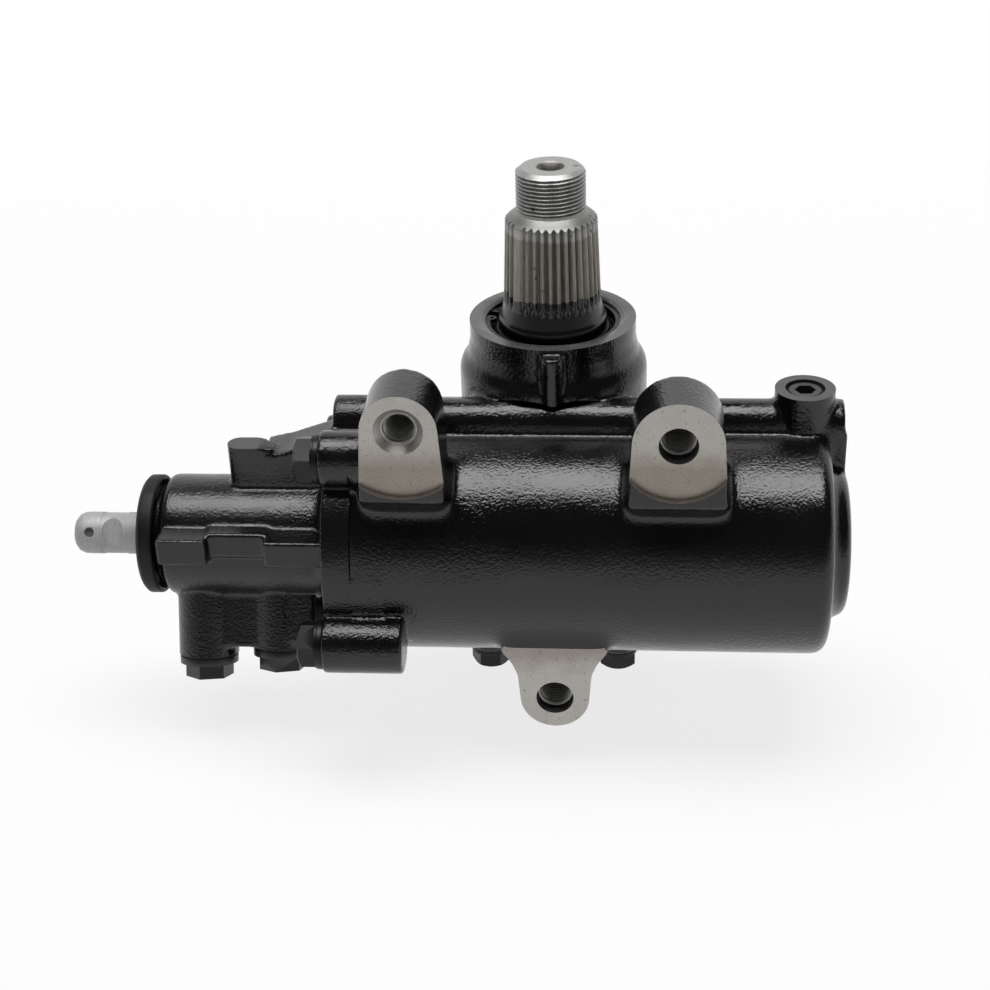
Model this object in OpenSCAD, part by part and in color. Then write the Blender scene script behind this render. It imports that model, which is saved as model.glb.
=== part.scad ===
// Integral power steering gearbox: rack piston on a ball screw, sector output shaft, rotary valve.
// +X runs along the piston from the input end to the closed end, +Y leads from the frame pads
// into the housing, +Z runs along the output shaft. The origin is the mouth of the lower frame hole.

/* [Gear set] */
// Radius of the piston bore
bore_r = 38; // [37:0.5:39]
// Distance from the piston axis to the output shaft axis
axis_gap = 50; // [49.5:0.1:51]
// Pitch radius of the sector teeth
sector_pitch_r = 25.5; // [25:0.1:26]
// Teeth that a full circle of the sector would have
sector_full_teeth = 9; // [9:1:9]
// Angle of the rack and sector flanks
pressure_angle = 25; // [22:1:27]
// Play between each pair of flanks
flank_play = 0.3; // [0.2:0.05:0.5]
// Half the height of the sector teeth
sector_half_h = 17.5; // [15:0.5:18]
// Lead of the ball screw
screw_lead = 10; // [9:0.1:11]
// Radius of a recirculating ball
ball_r = 3; // [2.8:0.1:3.1]
// Radius of the ball centres round the worm
ball_track_r = 12; // [11.8:0.1:12.2]
// Greatest travel of the piston each way
piston_travel = 20.1; // [18:0.1:21]

/* [Gear housing] */
// Outer radius of the piston barrel
barrel_r = 49; // [47:0.5:52]
// Distance from the output axis to the end of the barrel
barrel_end = 120; // [118:0.5:125]
// Radius of the round boss on the closed end
end_boss_r = 32.7; // [28:0.1:35]
// How far that boss stands out
end_boss_h = 8.3; // [5:0.1:12]
// Distance from the output axis to the valve-housing joint
joint_x = 82; // [81:0.5:86]
// Outer radius of the output tower
tower_r = 41.9; // [40:0.1:44]
// Radius of the machined rim on the tower
rim_r = 36.9; // [35:0.1:39]
// Height of that rim over the piston axis
rim_z = 84.5; // [83:0.5:88]
// Radius of the oil-gallery rail
rail_r = 10.8; // [9:0.1:12]
// Depth of the side-cover joint below the piston axis
cover_joint_z = 56; // [54:0.5:60]

/* [Frame pads] */
// Distance from the pads to the piston axis
pad_y = 43.7; // [42:0.1:46]
// Sideways place of the left pad's hole
left_pad_x = -58.3; // [-60:0.1:-56]
// Height of the left pad's hole
left_pad_z = 74.2; // [72:0.1:76]
// Half the width of the left pad
left_pad_r = 16; // [15:0.1:17]
// Sideways place of the right pad's hole
right_pad_x = 54.6; // [53:0.1:57]
// Height of the right pad's hole
right_pad_z = 68.7; // [67:0.1:70]
// Half the width of the right pad
right_pad_r = 18.8; // [18:0.1:20]
// Sideways place of the lower pad's hole
low_pad_x = 3.3; // [0:0.1:6]
// Depth of the lower pad's hole below the piston axis
low_pad_z = 55; // [54:0.1:57]
// Half the width of the lower pad
low_pad_r = 15; // [14:0.1:17]
// Radius of the frame bolts' tapped holes
frame_tap_r = 6; // [5.5:0.1:6.5]
// Depth of the left tapped hole
left_tap_depth = 26; // [22:1:28]
// Depth of the right tapped hole
right_tap_depth = 25; // [21:1:27]
// Depth of the lower tapped hole
low_tap_depth = 24; // [20:1:26]

/* [Valve housing] */
// Thickness of its flange
flange_t = 12.5; // [10:0.5:16]
// Radius of the bolt circle of the flange
flange_bolt_circle = 56.5; // [55:0.5:58]
// Turn of the bolt square round the piston axis
flange_bolt_turn = 65; // [62:1:67]
// Radius of the lugs round the bolts
lug_r = 12.2; // [11:0.1:13]
// Length of the lugs on the gear housing
lug_len = 22; // [18:0.5:24]
// Outer radius of the neck
neck_r = 27; // [26:0.5:29]
// Distance from the flange to the end of the neck
neck_len = 75; // [73:0.5:78]
// Lean of the oil ports out of the vertical
port_lean = 21; // [15:1:25]
// Outer radius of the oil ports
port_r = 13.4; // [13:0.1:14]
// Radius of the valve bore
valve_bore_r = 21; // [20.5:0.1:21.5]

/* [Shafts] */
// Radius of the input shaft
input_r = 9.4; // [9:0.1:9.8]
// Length of the input shaft outside the dust cover
input_out = 33; // [28:0.5:38]
// Radius of the dust cover
dust_r = 26.5; // [25.5:0.1:27]
// Radius of the output shaft's main journal
journal_r = 24; // [23.5:0.1:24.5]
// Radius of its lower trunnion
trunnion_r = 18; // [17:0.1:18.5]
// Radius of the serrations at their foot
spline_r = 20.5; // [20:0.1:21]
// Number of serrations
spline_teeth = 36; // [30:1:40]
// Height of the serrations over the piston axis at their foot
spline_z = 95.5; // [94:0.5:98]
// Length of the serrations
spline_len = 35.5; // [33:0.5:37]
// Radius of the end thread
thread_r = 15; // [14:0.1:16]
// Height of the shaft end over the piston axis
shaft_top_z = 153.6; // [150:0.1:157]

/* [Hidden] */
$fn = 64;
eps = 0.01;
press_gap = 0.02;
run_gap = 0.05;
seat_gap = 0.3;

// Tooth sizes of the rack and sector
module_mm = 2 * sector_pitch_r / sector_full_teeth;
tooth_pitch = PI * module_mm;
addendum = 0.8 * module_mm;
dedendum = 1.05 * module_mm;
rack_pitch_y = axis_gap - sector_pitch_r;
rack_root_y = rack_pitch_y - dedendum;
sector_tip_r = sector_pitch_r + addendum;
sector_root_r = sector_pitch_r - dedendum;
chamber_r = sector_tip_r + 4;

// Stations along the piston axis, from the output axis
valve_joint = -joint_x;
flange_face = valve_joint - flange_t;
neck_end = flange_face - neck_len;
dust_x = neck_end - 10.4;
input_tip = dust_x - input_out;
bore_end = barrel_end - 8;
body_end = barrel_end + end_boss_h;
piston_left = -55;
piston_right = bore_end - piston_travel - 6;

// Frame pads
pad_stock = 2.8;
pad_flare = 2;
low_face_top = 18.5;
low_boss_depth = 34;

// Mouths of the frame holes
mouth_r = 8.1;
right_mouth_depth = 7;
low_mouth_depth = 5;
sink_r = 10.3;
sink_depth = 4.6;

// Oil-gallery rail and its plug
rail_y = 17;
rail_z = barrel_r - 0.2;
gallery_r = 3.5;
plug_x = barrel_end - 10.7;
plug_boss_r = 13;
plug_boss_top = rail_z + rail_r + 6.2;
plug_r = 8.5;
plug_h = 9;
plug_socket_af = 8;

// Output tower
bearing_bore_r = journal_r + 5;
seal_bore_r = journal_r + 6;
bearing_low_z = sector_half_h + 10;
bearing_top_z = 60;
seal_low_z = 62;
dust_seal_z = rim_z - 10.5;
snap_ring_z = rim_z - 3.5;
snap_ring_t = 1.6;
snap_gap_turn = 165;
tower_rib_x = 1.3;
tower_rib_r = 4.8;

// Bolts
cover_bolt_circle = 42;
cover_bolt_r = 5;
cover_bolt_grip = 16;
cover_bolt_af = 16;
cover_lobe_r = 10.5;
cover_t = 12;
flange_bolt_r = 6;
flange_bolt_af = 18;
washer_t = 2.4;
hex_h = 7.5;

// Valve parts along the axis
sleeve_left = neck_end + 26;
sleeve_right = flange_face - 7;
spool_r = 13;
worm_land_r = 11.3;
worm_core_r = 8;
worm_bore_r = 4.1;
bar_r = 3.9;
pin_r = 2.2;
land_r = input_r + 0.2;
input_bearing_wall = 5;
worm_bearing_r = 30;
worm_head_left = sleeve_right + 1.5;
worm_head_r = 19.5;
worm_race_r = 18.5;
worm_nose = worm_head_left + 6;
bearing_mid = flange_face + flange_t / 2 + 0.5;
bearing_half = 6;
retainer_reach = 11;
bearing_ball_ring = 20.5;
bearing_ball_r = 3.4;
bearing_balls = 12;
sleeve_pin_y = 16;
sleeve_pin_r = 1.5;
input_pin_x = input_tip + 7.5;
worm_pin_x = valve_joint + 25;

// Oil ports
port_left_x = neck_end + 15.3;
port_right_x = flange_face - 26.1;
port_left_len = 54;
port_right_len = 50;
port_pocket = 13;
port_passage_r = 4;
port_passage_tilt = 30;
port_block_half = 17;
port_web_back = 0.4;
web_passage_tilt = 38.5;
port_tap_r = 8;
plug_flange_t = 3.2;
plug_flange_r = 13;
plug_hex_af = 18.5;
plug_hex_h = 6.5;
left_hex_turn = 42;
right_hex_turn = 36;

module gear_frame() translate([-low_pad_x, pad_y, low_pad_z]) children();
module along_x() rotate([0, 90, 0]) children();
module along_minus_y() rotate([90, 0, 0]) children();
module at_output() translate([0, axis_gap, 0]) children();

// Round bar along X between two stations
module bar_x(x0, x1, r) translate([x0, 0, 0]) along_x() cylinder(h = x1 - x0, r = r);

// Ring along X between two stations
module ring_x(x0, x1, outer, inner) difference() {
    bar_x(x0, x1, outer);
    bar_x(x0 - 1, x1 + 1, inner);
}

// Ring along Z between two heights
module ring_z(z0, z1, outer, inner) translate([0, 0, z0]) difference() {
    cylinder(h = z1 - z0, r = outer);
    translate([0, 0, -1]) cylinder(h = z1 - z0 + 2, r = inner);
}

module hexagon(h, af) cylinder(h = h, r = af / sqrt(3), $fn = 6);

// Quarter round used in revolved outlines
function arc(cx, cy, r, a0, a1, n = 6) =
    [for (i = [0:n]) let (a = a0 + (a1 - a0) * i / n) [cx + r * cos(a), cy + r * sin(a)]];

// Solid of revolution about X from points [radius, x]
module revolve_x(points) along_x() rotate_extrude() polygon(points);

// Places of the four flange bolts, as [y, z]
function flange_bolt(i) = let (a = 180 - flange_bolt_turn + 90 * i) flange_bolt_circle * [cos(a), sin(a)];

module at_flange_bolts() for (i = [0:3]) translate([0, flange_bolt(i)[0], flange_bolt(i)[1]]) children();
module at_cover_bolts() at_output() for (i = [0:3])
    rotate([0, 0, 45 + 90 * i]) translate([cover_bolt_circle, 0, 0]) children();

// Flange outline shared by both castings: a disc with the gallery lobe
module flange_disc(x0, x1) {
    bar_x(x0, x1, barrel_r + 1);
    translate([0, rail_y, rail_z]) bar_x(x0, x1, rail_r + 0.6);
}

// Cast boss behind a frame pad: a round-topped bar along Y, cut off below by a sloping underside
module pad_boss(x, z, r, depth, skirt_z) {
    front = pad_y + pad_stock;
    skirt_run = 11;
    intersection() {
        translate([x, -front + depth, z]) along_minus_y() linear_extrude(depth) {
            circle(r);
            polygon([[-r, 0], [r, 0], [r + pad_flare, -r - 14], [r + pad_flare, -z], [-r - pad_flare, -z],
                     [-r - pad_flare, -r - 14]]);
        }
        translate([x - r - pad_flare - 1, 0, 0]) rotate([90, 0, 90])
            linear_extrude(2 * (r + pad_flare + 1)) polygon([
            [-front, z + r + 1], [-front, skirt_z], [-front + skirt_run, skirt_z - skirt_run],
            [0, skirt_z - skirt_run], [0, z + r + 1]]);
    }
}

// Spot face and tapped hole of a frame pad
module pad_cut(x, z, face_r, depth) translate([x, -pad_y, z]) {
    along_minus_y() cylinder(h = 20, r = face_r);
    translate([0, depth, 0]) along_minus_y() cylinder(h = depth + 1, r = frame_tap_r);
}

// Face of the lower pad, milled straight across below a ledge
module low_face_cut() translate([low_pad_x - 30, -pad_y - 20, -low_pad_z - 30])
    cube([60, 20, 30 + low_face_top]);

// Wider mouth of a tapped hole
module pad_mouth(x, z, depth) translate([x, -pad_y + depth, z]) along_minus_y()
    cylinder(h = depth + 1, r = mouth_r);

module barrel_outside() revolve_x(concat(
    [[0, valve_joint], [barrel_r, valve_joint]],
    arc(barrel_r - 6, barrel_end - 6, 6, 0, 90),
    [[end_boss_r + 3, barrel_end]],
    arc(end_boss_r - 5, body_end - 5, 5, 0, 90),
    [[0, body_end]]));

module tower_outside() at_output() rotate_extrude() polygon(concat(
    [[0, -cover_joint_z], [tower_r, -cover_joint_z]],
    arc(tower_r - 10, 61, 10, 0, 50),
    [[rim_r + 0.6, rim_z - 11.5], [rim_r, rim_z - 8.5],
     [rim_r, rim_z - 0.8], [rim_r - 0.8, rim_z], [0, rim_z]]));

module gear_housing_cast() {
    barrel_outside();
    tower_outside();
    flange_disc(valve_joint, valve_joint + 14);
    translate([valve_joint, 0, 0]) at_flange_bolts() bar_x(0, lug_len, lug_r);
    translate([0, rail_y, rail_z]) bar_x(valve_joint, body_end - 2, rail_r);
    translate([plug_x, rail_y, 20]) cylinder(h = plug_boss_top - 20, r = plug_boss_r);
    translate([barrel_end - 6, rail_y - rail_r, 10])
        cube([body_end - barrel_end + 5, 2 * rail_r, rail_z - 10]);
    translate([tower_rib_x, axis_gap - tower_r + 3.3, 40]) cylinder(h = rim_z - 42, r = tower_rib_r);
    translate([0, 0, -cover_joint_z]) at_cover_bolts() cylinder(h = 22, r = cover_lobe_r);
    pad_boss(left_pad_x, left_pad_z, left_pad_r, 30, 43);
    pad_boss(right_pad_x, right_pad_z, right_pad_r, 30, 42);
    translate([low_pad_x, -pad_y - pad_stock + low_boss_depth, -low_pad_z]) along_minus_y()
        linear_extrude(low_boss_depth) {
            circle(low_pad_r);
            polygon([[-low_pad_r, 0], [low_pad_r, 0], [low_pad_r + 1, 12], [low_pad_r + 3.5, 18],
                     [low_pad_r + 8, 24], [low_pad_r + 6, 36], [-low_pad_r - 6, 36], [-low_pad_r - 8, 24],
                     [-low_pad_r - 3.5, 18], [-low_pad_r - 1, 12]]);
        }
}

module gear_housing() color([0.06, 0.06, 0.065]) gear_frame() difference() {
    gear_housing_cast();
    bar_x(valve_joint - 1, bore_end, bore_r);
    at_output() translate([0, 0, -cover_joint_z - 1])
        cylinder(h = cover_joint_z + sector_half_h + 5, r = chamber_r);
    at_output() cylinder(h = seal_low_z, r = bearing_bore_r);
    at_output() translate([0, 0, seal_low_z - eps]) cylinder(h = rim_z, r = seal_bore_r);
    at_output() ring_z(snap_ring_z - run_gap, snap_ring_z + snap_ring_t + run_gap,
                       seal_bore_r + 1, seal_bore_r - 1);
    at_output() translate([0, 0, rim_z - 1]) cylinder(h = 2, r1 = seal_bore_r, r2 = seal_bore_r + 2);
    pad_cut(left_pad_x, left_pad_z, left_pad_z - 44.4, left_tap_depth);
    translate([left_pad_x, -pad_y + sink_depth, left_pad_z]) along_minus_y()
        cylinder(h = sink_depth + eps, r1 = frame_tap_r, r2 = sink_r);
    pad_cut(right_pad_x, right_pad_z, right_pad_z - 44, right_tap_depth);
    pad_mouth(right_pad_x, right_pad_z, right_mouth_depth);
    pad_cut(low_pad_x, -low_pad_z, low_pad_r, low_tap_depth);
    low_face_cut();
    pad_mouth(low_pad_x, -low_pad_z, low_mouth_depth);
    translate([0, 0, -cover_joint_z - 1]) at_cover_bolts()
        cylinder(h = cover_bolt_grip + 3, r = cover_bolt_r + run_gap);
    translate([valve_joint - 1, 0, 0]) at_flange_bolts() bar_x(0, 19, flange_bolt_r + run_gap);
    translate([0, rail_y, rail_z]) bar_x(valve_joint - 1, plug_x, gallery_r);
    translate([plug_x, rail_y, 28]) cylinder(h = 40, r = gallery_r);
    translate([plug_x, rail_y, plug_boss_top - plug_h]) cylinder(h = plug_h + 1, r = plug_r + press_gap);
}

// Frame of an oil port: +Z leads out of the port, the origin is on the valve axis
module at_port(x) translate([x, 0, 0]) rotate([180 - port_lean, 0, 0]) children();

// Tapped pocket of a port with a passage to the valve bore, tilted along the valve axis
module port_hole(x, length, tilt) at_port(x) translate([0, 0, length - port_pocket]) {
    cylinder(h = port_pocket + 1, r = port_tap_r + press_gap);
    rotate([0, 180 - tilt, 0]) cylinder(h = 30, r = port_passage_r);
}

// Both port bosses, the squared block round the right one and the web between them
module port_bosses() {
    at_port(port_left_x) cylinder(h = port_left_len, r = port_r);
    at_port(port_right_x) {
        cylinder(h = port_right_len, r = port_r);
        translate([0, -port_r + 1, 0]) cube([port_block_half, 2 * port_r - 2, port_right_len - 3]);
        translate([port_left_x - port_right_x, -8, 0])
            cube([port_right_x - port_left_x, 18, min(port_left_len, port_right_len) - port_web_back]);
    }
}

module neck_outside() revolve_x(concat(
    [[0, neck_end - 4], [neck_r - 4.6, neck_end - 4], [neck_r - 4.6, neck_end]],
    arc(neck_r - 3, neck_end + 3, 3, -90, 0, 4),
    [[neck_r, flange_face - 8]],
    arc(neck_r + 8, flange_face - 8, 8, 180, 90, 5),
    [[neck_r + 8, flange_face + 1], [0, flange_face + 1]]));

// Front ribs of the valve housing: a block near the neck, a low strip and a rib that runs to the flange
module front_ribs() {
    rib_low = 3;
    rib_h = 12.5;
    rib_front = neck_r + 6;
    translate([neck_end + 1, -rib_front, rib_low]) cube([22, rib_front, rib_h]);
    translate([neck_end + 23, -neck_r - 2, rib_low + 2]) cube([26, neck_r, rib_h - 1]);
    translate([neck_end + 48, -rib_front - 1.5, rib_low]) cube([neck_len - 46, rib_front, rib_h]);
}

// Upper lug with its flat top, and the web that rises from it to the gallery lobe of the flange
module gallery_web() {
    lug_x = neck_end + 35;
    lug_top = neck_r + 19;
    lug_half = 5.5;
    translate([lug_x, 0, 0]) cylinder(h = lug_top, r = lug_half);
    translate([lug_x, -lug_half, 0]) cube([11, 2 * lug_half, lug_top]);
    translate([0, 16, 0]) along_minus_y() linear_extrude(16 + lug_half) polygon([
        [lug_x + 10, 0], [lug_x + 10, lug_top - 4.5], [lug_x + 21, lug_top - 2],
        [flange_face + 1, lug_top + 5], [flange_face + 1, 0]]);
}

module valve_housing() color([0.06, 0.06, 0.065]) gear_frame() difference() {
    union() {
        neck_outside();
        flange_disc(flange_face, valve_joint);
        translate([flange_face, 0, 0]) at_flange_bolts() bar_x(0, flange_t, lug_r);
        bar_x(valve_joint - 1, valve_joint + 6, bore_r - press_gap);
        port_bosses();
        front_ribs();
        gallery_web();
    }
    bar_x(neck_end - 5, sleeve_left, land_r + input_bearing_wall);
    bar_x(neck_end - 5, neck_end + 9, land_r + 9);
    ring_x(neck_end - 1.4, neck_end + 0.4, land_r + 10, land_r + 8);
    bar_x(sleeve_left - 1, bearing_mid, valve_bore_r);
    bar_x(bearing_mid - bearing_half, valve_joint + 7, worm_bearing_r + press_gap);
    ring_x(valve_joint + 1.5, valve_joint + 4.5, bore_r + 1, bore_r - 2.4);
    translate([flange_face - 1, 0, 0]) at_flange_bolts() bar_x(0, flange_t + 2, flange_bolt_r + 0.4);
    port_hole(port_left_x, port_left_len, port_passage_tilt);
    port_hole(port_right_x, port_right_len, 0);
    rotate([-atan2(rail_y, rail_z), 0, 0]) translate([valve_joint, 0, norm([rail_y, rail_z])])
        rotate([0, 180 + web_passage_tilt, 0]) translate([0, 0, -3]) cylinder(h = 45, r = gallery_r - 1);
}

module side_cover_outline(h) linear_extrude(h) {
    circle(tower_r - 1);
    for (i = [0:3]) rotate([0, 0, 45 + 90 * i]) translate([cover_bolt_circle, 0]) circle(cover_lobe_r);
}

gasket_t = 0.8;
cover_top = -cover_joint_z - gasket_t;
cover_low = cover_top - cover_t;
hub_low = cover_low - 7;
pocket_z = cover_top + 3;
trunnion_low = pocket_z + 1;
hub_top = -bore_r + 2.2;
locknut_h = 8;
screw_r = 6;

module side_cover() color([0.07, 0.07, 0.075]) gear_frame() difference() {
    at_output() union() {
        translate([0, 0, cover_low]) side_cover_outline(cover_t);
        translate([0, 0, cover_top - 1]) cylinder(h = hub_top - cover_top + 1, r = chamber_r - 0.2);
        rotate_extrude() polygon([[0, hub_low], [17, hub_low], [25, cover_low + 1], [0, cover_low + 1]]);
        for (i = [0:3]) rotate([0, 0, 90 * i]) translate([12, -3, cover_low - 5]) cube([26, 6, 6]);
    }
    at_output() translate([0, 0, pocket_z]) cylinder(h = 40, r = trunnion_r + 4);
    at_output() translate([0, 0, hub_low - 1]) cylinder(h = 40, r = screw_r + run_gap);
    translate([0, 0, cover_low - 1]) at_cover_bolts() cylinder(h = cover_t + 2, r = cover_bolt_r + 0.4);
}

module side_cover_gasket() color([0.25, 0.2, 0.15]) gear_frame() difference() {
    at_output() translate([0, 0, cover_top]) side_cover_outline(gasket_t);
    at_output() translate([0, 0, cover_top - 1]) cylinder(h = 3, r = chamber_r + 0.2);
    translate([0, 0, cover_top - 1]) at_cover_bolts() cylinder(h = 3, r = cover_bolt_r + 0.4);
}

// Hex bolt with a round flange, drawn along +Z with the seat at z = 0
module hex_bolt(r, length, af, flange_h) {
    cylinder(h = length, r = r);
    translate([0, 0, -flange_h]) cylinder(h = flange_h, r = af / 2 + 1.5);
    difference() {
        translate([0, 0, -flange_h - hex_h]) hexagon(hex_h + eps, af);
        translate([0, 0, -flange_h - hex_h]) difference() {
            translate([0, 0, -1]) cylinder(h = 3, r = af);
            translate([0, 0, -1]) cylinder(h = 3.4, r1 = af / 2 - 2.2, r2 = af / 2 + 2.6);
        }
    }
}

module side_cover_bolts() color([0.08, 0.08, 0.085]) gear_frame() translate([0, 0, cover_low])
    at_cover_bolts() rotate([0, 0, 15])
        hex_bolt(cover_bolt_r, cover_t + gasket_t + cover_bolt_grip, cover_bolt_af, 2.2);

module lash_adjuster() color([0.5, 0.5, 0.5]) gear_frame() at_output() difference() {
    union() {
        translate([0, 0, hub_low - 14]) cylinder(h = trunnion_low + 2 - hub_low + 14, r = screw_r);
        translate([0, 0, trunnion_low + seat_gap]) cylinder(h = 4, r = 9);
    }
    translate([-10, -1.25, hub_low - 15]) cube([20, 2.5, 4]);
}

module adjuster_locknut() color([0.3, 0.3, 0.3]) gear_frame() at_output()
    translate([0, 0, hub_low - locknut_h]) difference() {
        hexagon(locknut_h, 19);
        translate([0, 0, -1]) cylinder(h = locknut_h + 2, r = screw_r + press_gap);
    }

module valve_housing_bolts() color([0.08, 0.08, 0.085]) gear_frame()
    translate([flange_face - washer_t, 0, 0]) at_flange_bolts() rotate([8, 0, 0]) along_x()
        hex_bolt(flange_bolt_r, washer_t + flange_t + 16, flange_bolt_af, 0.8);

module valve_housing_washers() color([0.08, 0.08, 0.085]) gear_frame() translate([flange_face, 0, 0])
    at_flange_bolts() ring_x(-washer_t, 0, 10.8, flange_bolt_r + 0.3);

module valve_housing_oring() color([0.05, 0.05, 0.05]) gear_frame() along_x()
    rotate_extrude() translate([bore_r - 1.25, valve_joint + 3]) circle(1.1);

module gallery_plug() color([0.1, 0.1, 0.1]) gear_frame()
    translate([plug_x, rail_y, plug_boss_top - plug_h]) difference() {
        union() {
            cylinder(h = plug_h - 2.4, r = plug_r);
            cylinder(h = plug_h - 0.8, r = plug_r - 1.6);
        }
        translate([0, 0, 2]) hexagon(plug_h, plug_socket_af);
    }

// Port plug along the port's own axis: threaded stem, round flange and hex head
module port_plug(x, length, hex_turn) at_port(x) translate([0, 0, length + 1]) {
    translate([0, 0, -12]) cylinder(h = 12, r = port_tap_r);
    cylinder(h = plug_flange_t, r = plug_flange_r);
    rotate([0, 0, hex_turn]) translate([0, 0, plug_flange_t - eps]) hexagon(plug_hex_h, plug_hex_af);
}

module pressure_port_plug() color([0.09, 0.09, 0.09]) gear_frame()
    port_plug(port_left_x, port_left_len, left_hex_turn);
module return_port_plug() color([0.09, 0.09, 0.09]) gear_frame()
    port_plug(port_right_x, port_right_len, right_hex_turn);

module port_washer(x, length) at_port(x)
    ring_z(length, length + 1, plug_flange_r - 0.4, port_tap_r + press_gap);

module port_washers() color([0.15, 0.15, 0.15]) gear_frame() {
    port_washer(port_left_x, port_left_len);
    port_washer(port_right_x, port_right_len);
}

// Involute flank of a sector tooth, from the root to the tip, for the half thickness at the pitch circle
base_r = sector_pitch_r * cos(pressure_angle);
function inv_deg(r) = let (t = sqrt(max(0, r * r / base_r / base_r - 1))) t * 180 / PI - atan(t);
half_thick_deg = (tooth_pitch / 4 - flank_play / 2) / sector_pitch_r * 180 / PI + inv_deg(sector_pitch_r);
function flank_point(r, side) =
    let (a = side * (half_thick_deg - inv_deg(max(r, base_r)))) [r * sin(a), -r * cos(a)];
flank_steps = 7;
flank_start_r = sector_root_r - 1;
function flank_r(i) = flank_start_r + (sector_tip_r - flank_start_r) * i / flank_steps;

module sector_tooth_outline() polygon(concat(
    [for (i = [0:flank_steps]) flank_point(flank_r(i), 1)],
    [for (i = [flank_steps:-1:0]) flank_point(flank_r(i), -1)]));

// Serrated outline of the output shaft end, with one groove left out as the locating serration
spline_top = spline_z + spline_len;
thread_low = spline_top + 3.5;
blind_groove = 22;
groove_turn = 6;
module spline_outline() difference() {
    circle(spline_r);
    for (i = [0:spline_teeth - 1]) if (i != blind_groove) rotate([0, 0, 360 * i / spline_teeth + groove_turn])
        translate([spline_r + 0.25, 0, 0]) rotate([0, 0, 45]) square(2, center = true);
}

// Cones and cylinders of the output shaft from points [radius, z]
module sector_shaft() color([0.62, 0.6, 0.57]) gear_frame() at_output() difference() {
    union() {
        rotate_extrude() polygon([
            [0, trunnion_low], [trunnion_r - 1, trunnion_low], [trunnion_r, trunnion_low + 1],
            [trunnion_r, -sector_half_h - 1], [sector_root_r, -sector_half_h],
            [sector_root_r, sector_half_h], [journal_r - 1, sector_half_h + 1.5],
            [journal_r, sector_half_h + 2.5], [journal_r, rim_z + 1], [journal_r - 0.8, rim_z + 2.2],
            [spline_r + 0.4, spline_z], [0, spline_z]]);
        translate([0, 0, -sector_half_h]) linear_extrude(2 * sector_half_h)
            for (i = [-1:1]) rotate([0, 0, 360 / sector_full_teeth * i]) sector_tooth_outline();
        translate([0, 0, spline_z - eps]) linear_extrude(spline_len) spline_outline();
        rotate_extrude() polygon([
            [0, spline_z], [spline_r - 1.4, spline_z], [spline_r - 1.4, spline_top],
            [thread_r + 0.4, thread_low], [thread_r, thread_low], [thread_r, shaft_top_z - 1.2],
            [thread_r - 1.2, shaft_top_z], [0, shaft_top_z]]);
    }
    translate([0, 0, trunnion_low - 1]) cylinder(h = 5.5 + seat_gap, r = 9.4);
    translate([0, 0, shaft_top_z - 4]) cylinder(h = 5, r1 = 2.5, r2 = 7.5);
}

module sector_upper_bearing() color([0.6, 0.6, 0.6]) gear_frame() at_output()
    ring_z(bearing_low_z, bearing_top_z, bearing_bore_r - press_gap, journal_r + run_gap);

module sector_lower_bearing() color([0.6, 0.6, 0.6]) gear_frame() at_output()
    ring_z(pocket_z + 2, hub_top, trunnion_r + 4 - press_gap, trunnion_r + run_gap);

module output_oil_seal() color([0.1, 0.08, 0.07]) gear_frame() at_output() difference() {
    ring_z(seal_low_z, dust_seal_z - 0.3, seal_bore_r - press_gap, journal_r + run_gap);
    ring_z(seal_low_z - 1, dust_seal_z - 3, seal_bore_r - 1.5, journal_r + 1.5);
}

// Open retaining ring with two eyes at its gap
module at_ring_eyes(r) for (s = [-1, 1]) rotate([0, 0, snap_gap_turn + 9 * s])
    translate([r, 0, 0]) children();

module output_retaining_ring() color([0.12, 0.12, 0.12]) gear_frame() at_output()
    translate([0, 0, snap_ring_z]) difference() {
        union() {
            ring_z(0, snap_ring_t, seal_bore_r + 0.8, seal_bore_r - 2.2);
            at_ring_eyes(seal_bore_r - 2.4) cylinder(h = snap_ring_t, r = 2.2);
        }
        rotate([0, 0, snap_gap_turn]) translate([0, -2.2, -1]) cube([60, 4.4, 4]);
        at_ring_eyes(seal_bore_r - 2.6) translate([0, 0, -1]) cylinder(h = 4, r = 0.9);
    }

module output_dust_seal() color([0.06, 0.06, 0.06]) gear_frame() at_output() rotate_extrude() polygon([
    [journal_r + run_gap, dust_seal_z], [seal_bore_r - press_gap, dust_seal_z],
    [seal_bore_r - press_gap, dust_seal_z + 4.5], [seal_bore_r - 2, dust_seal_z + 4.5],
    [seal_bore_r - 3.2, dust_seal_z + 2.5], [journal_r + 1.6, dust_seal_z + 2.5],
    [journal_r + 1, dust_seal_z + 6.5], [journal_r + run_gap, dust_seal_z + 6.5]]);

// Rack teeth as one outline in the X-Y plane, standing on the root plane
module rack_outline() {
    tip_y = rack_pitch_y + addendum;
    half = tooth_pitch / 4 - flank_play / 2;
    slope = tan(pressure_angle);
    for (i = [-2:1]) translate([(i + 0.5) * tooth_pitch, 0]) polygon([
        [-half - slope * (rack_pitch_y - rack_root_y + 1), rack_root_y - 1],
        [half + slope * (rack_pitch_y - rack_root_y + 1), rack_root_y - 1],
        [half - slope * addendum, tip_y], [-half + slope * addendum, tip_y]]);
}

// Ball track: radius of the worm or nut surface at axial distance d from the middle of the groove
groove_r = ball_r + 0.45;
groove_sides = 16;
groove_steps = 10;
function groove_depth(d) = abs(d) < groove_r ? sqrt(groove_r * groove_r - d * d) : 0;
function from_groove(x, a) = let (t = x / screw_lead - a / 360) (t - round(t)) * screw_lead;
function worm_surface(d) = min(worm_land_r, ball_track_r - groove_depth(d));
function nut_surface(d) = max(worm_land_r - 1, (ball_track_r + groove_depth(d)) / cos(180 / groove_sides));

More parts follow.
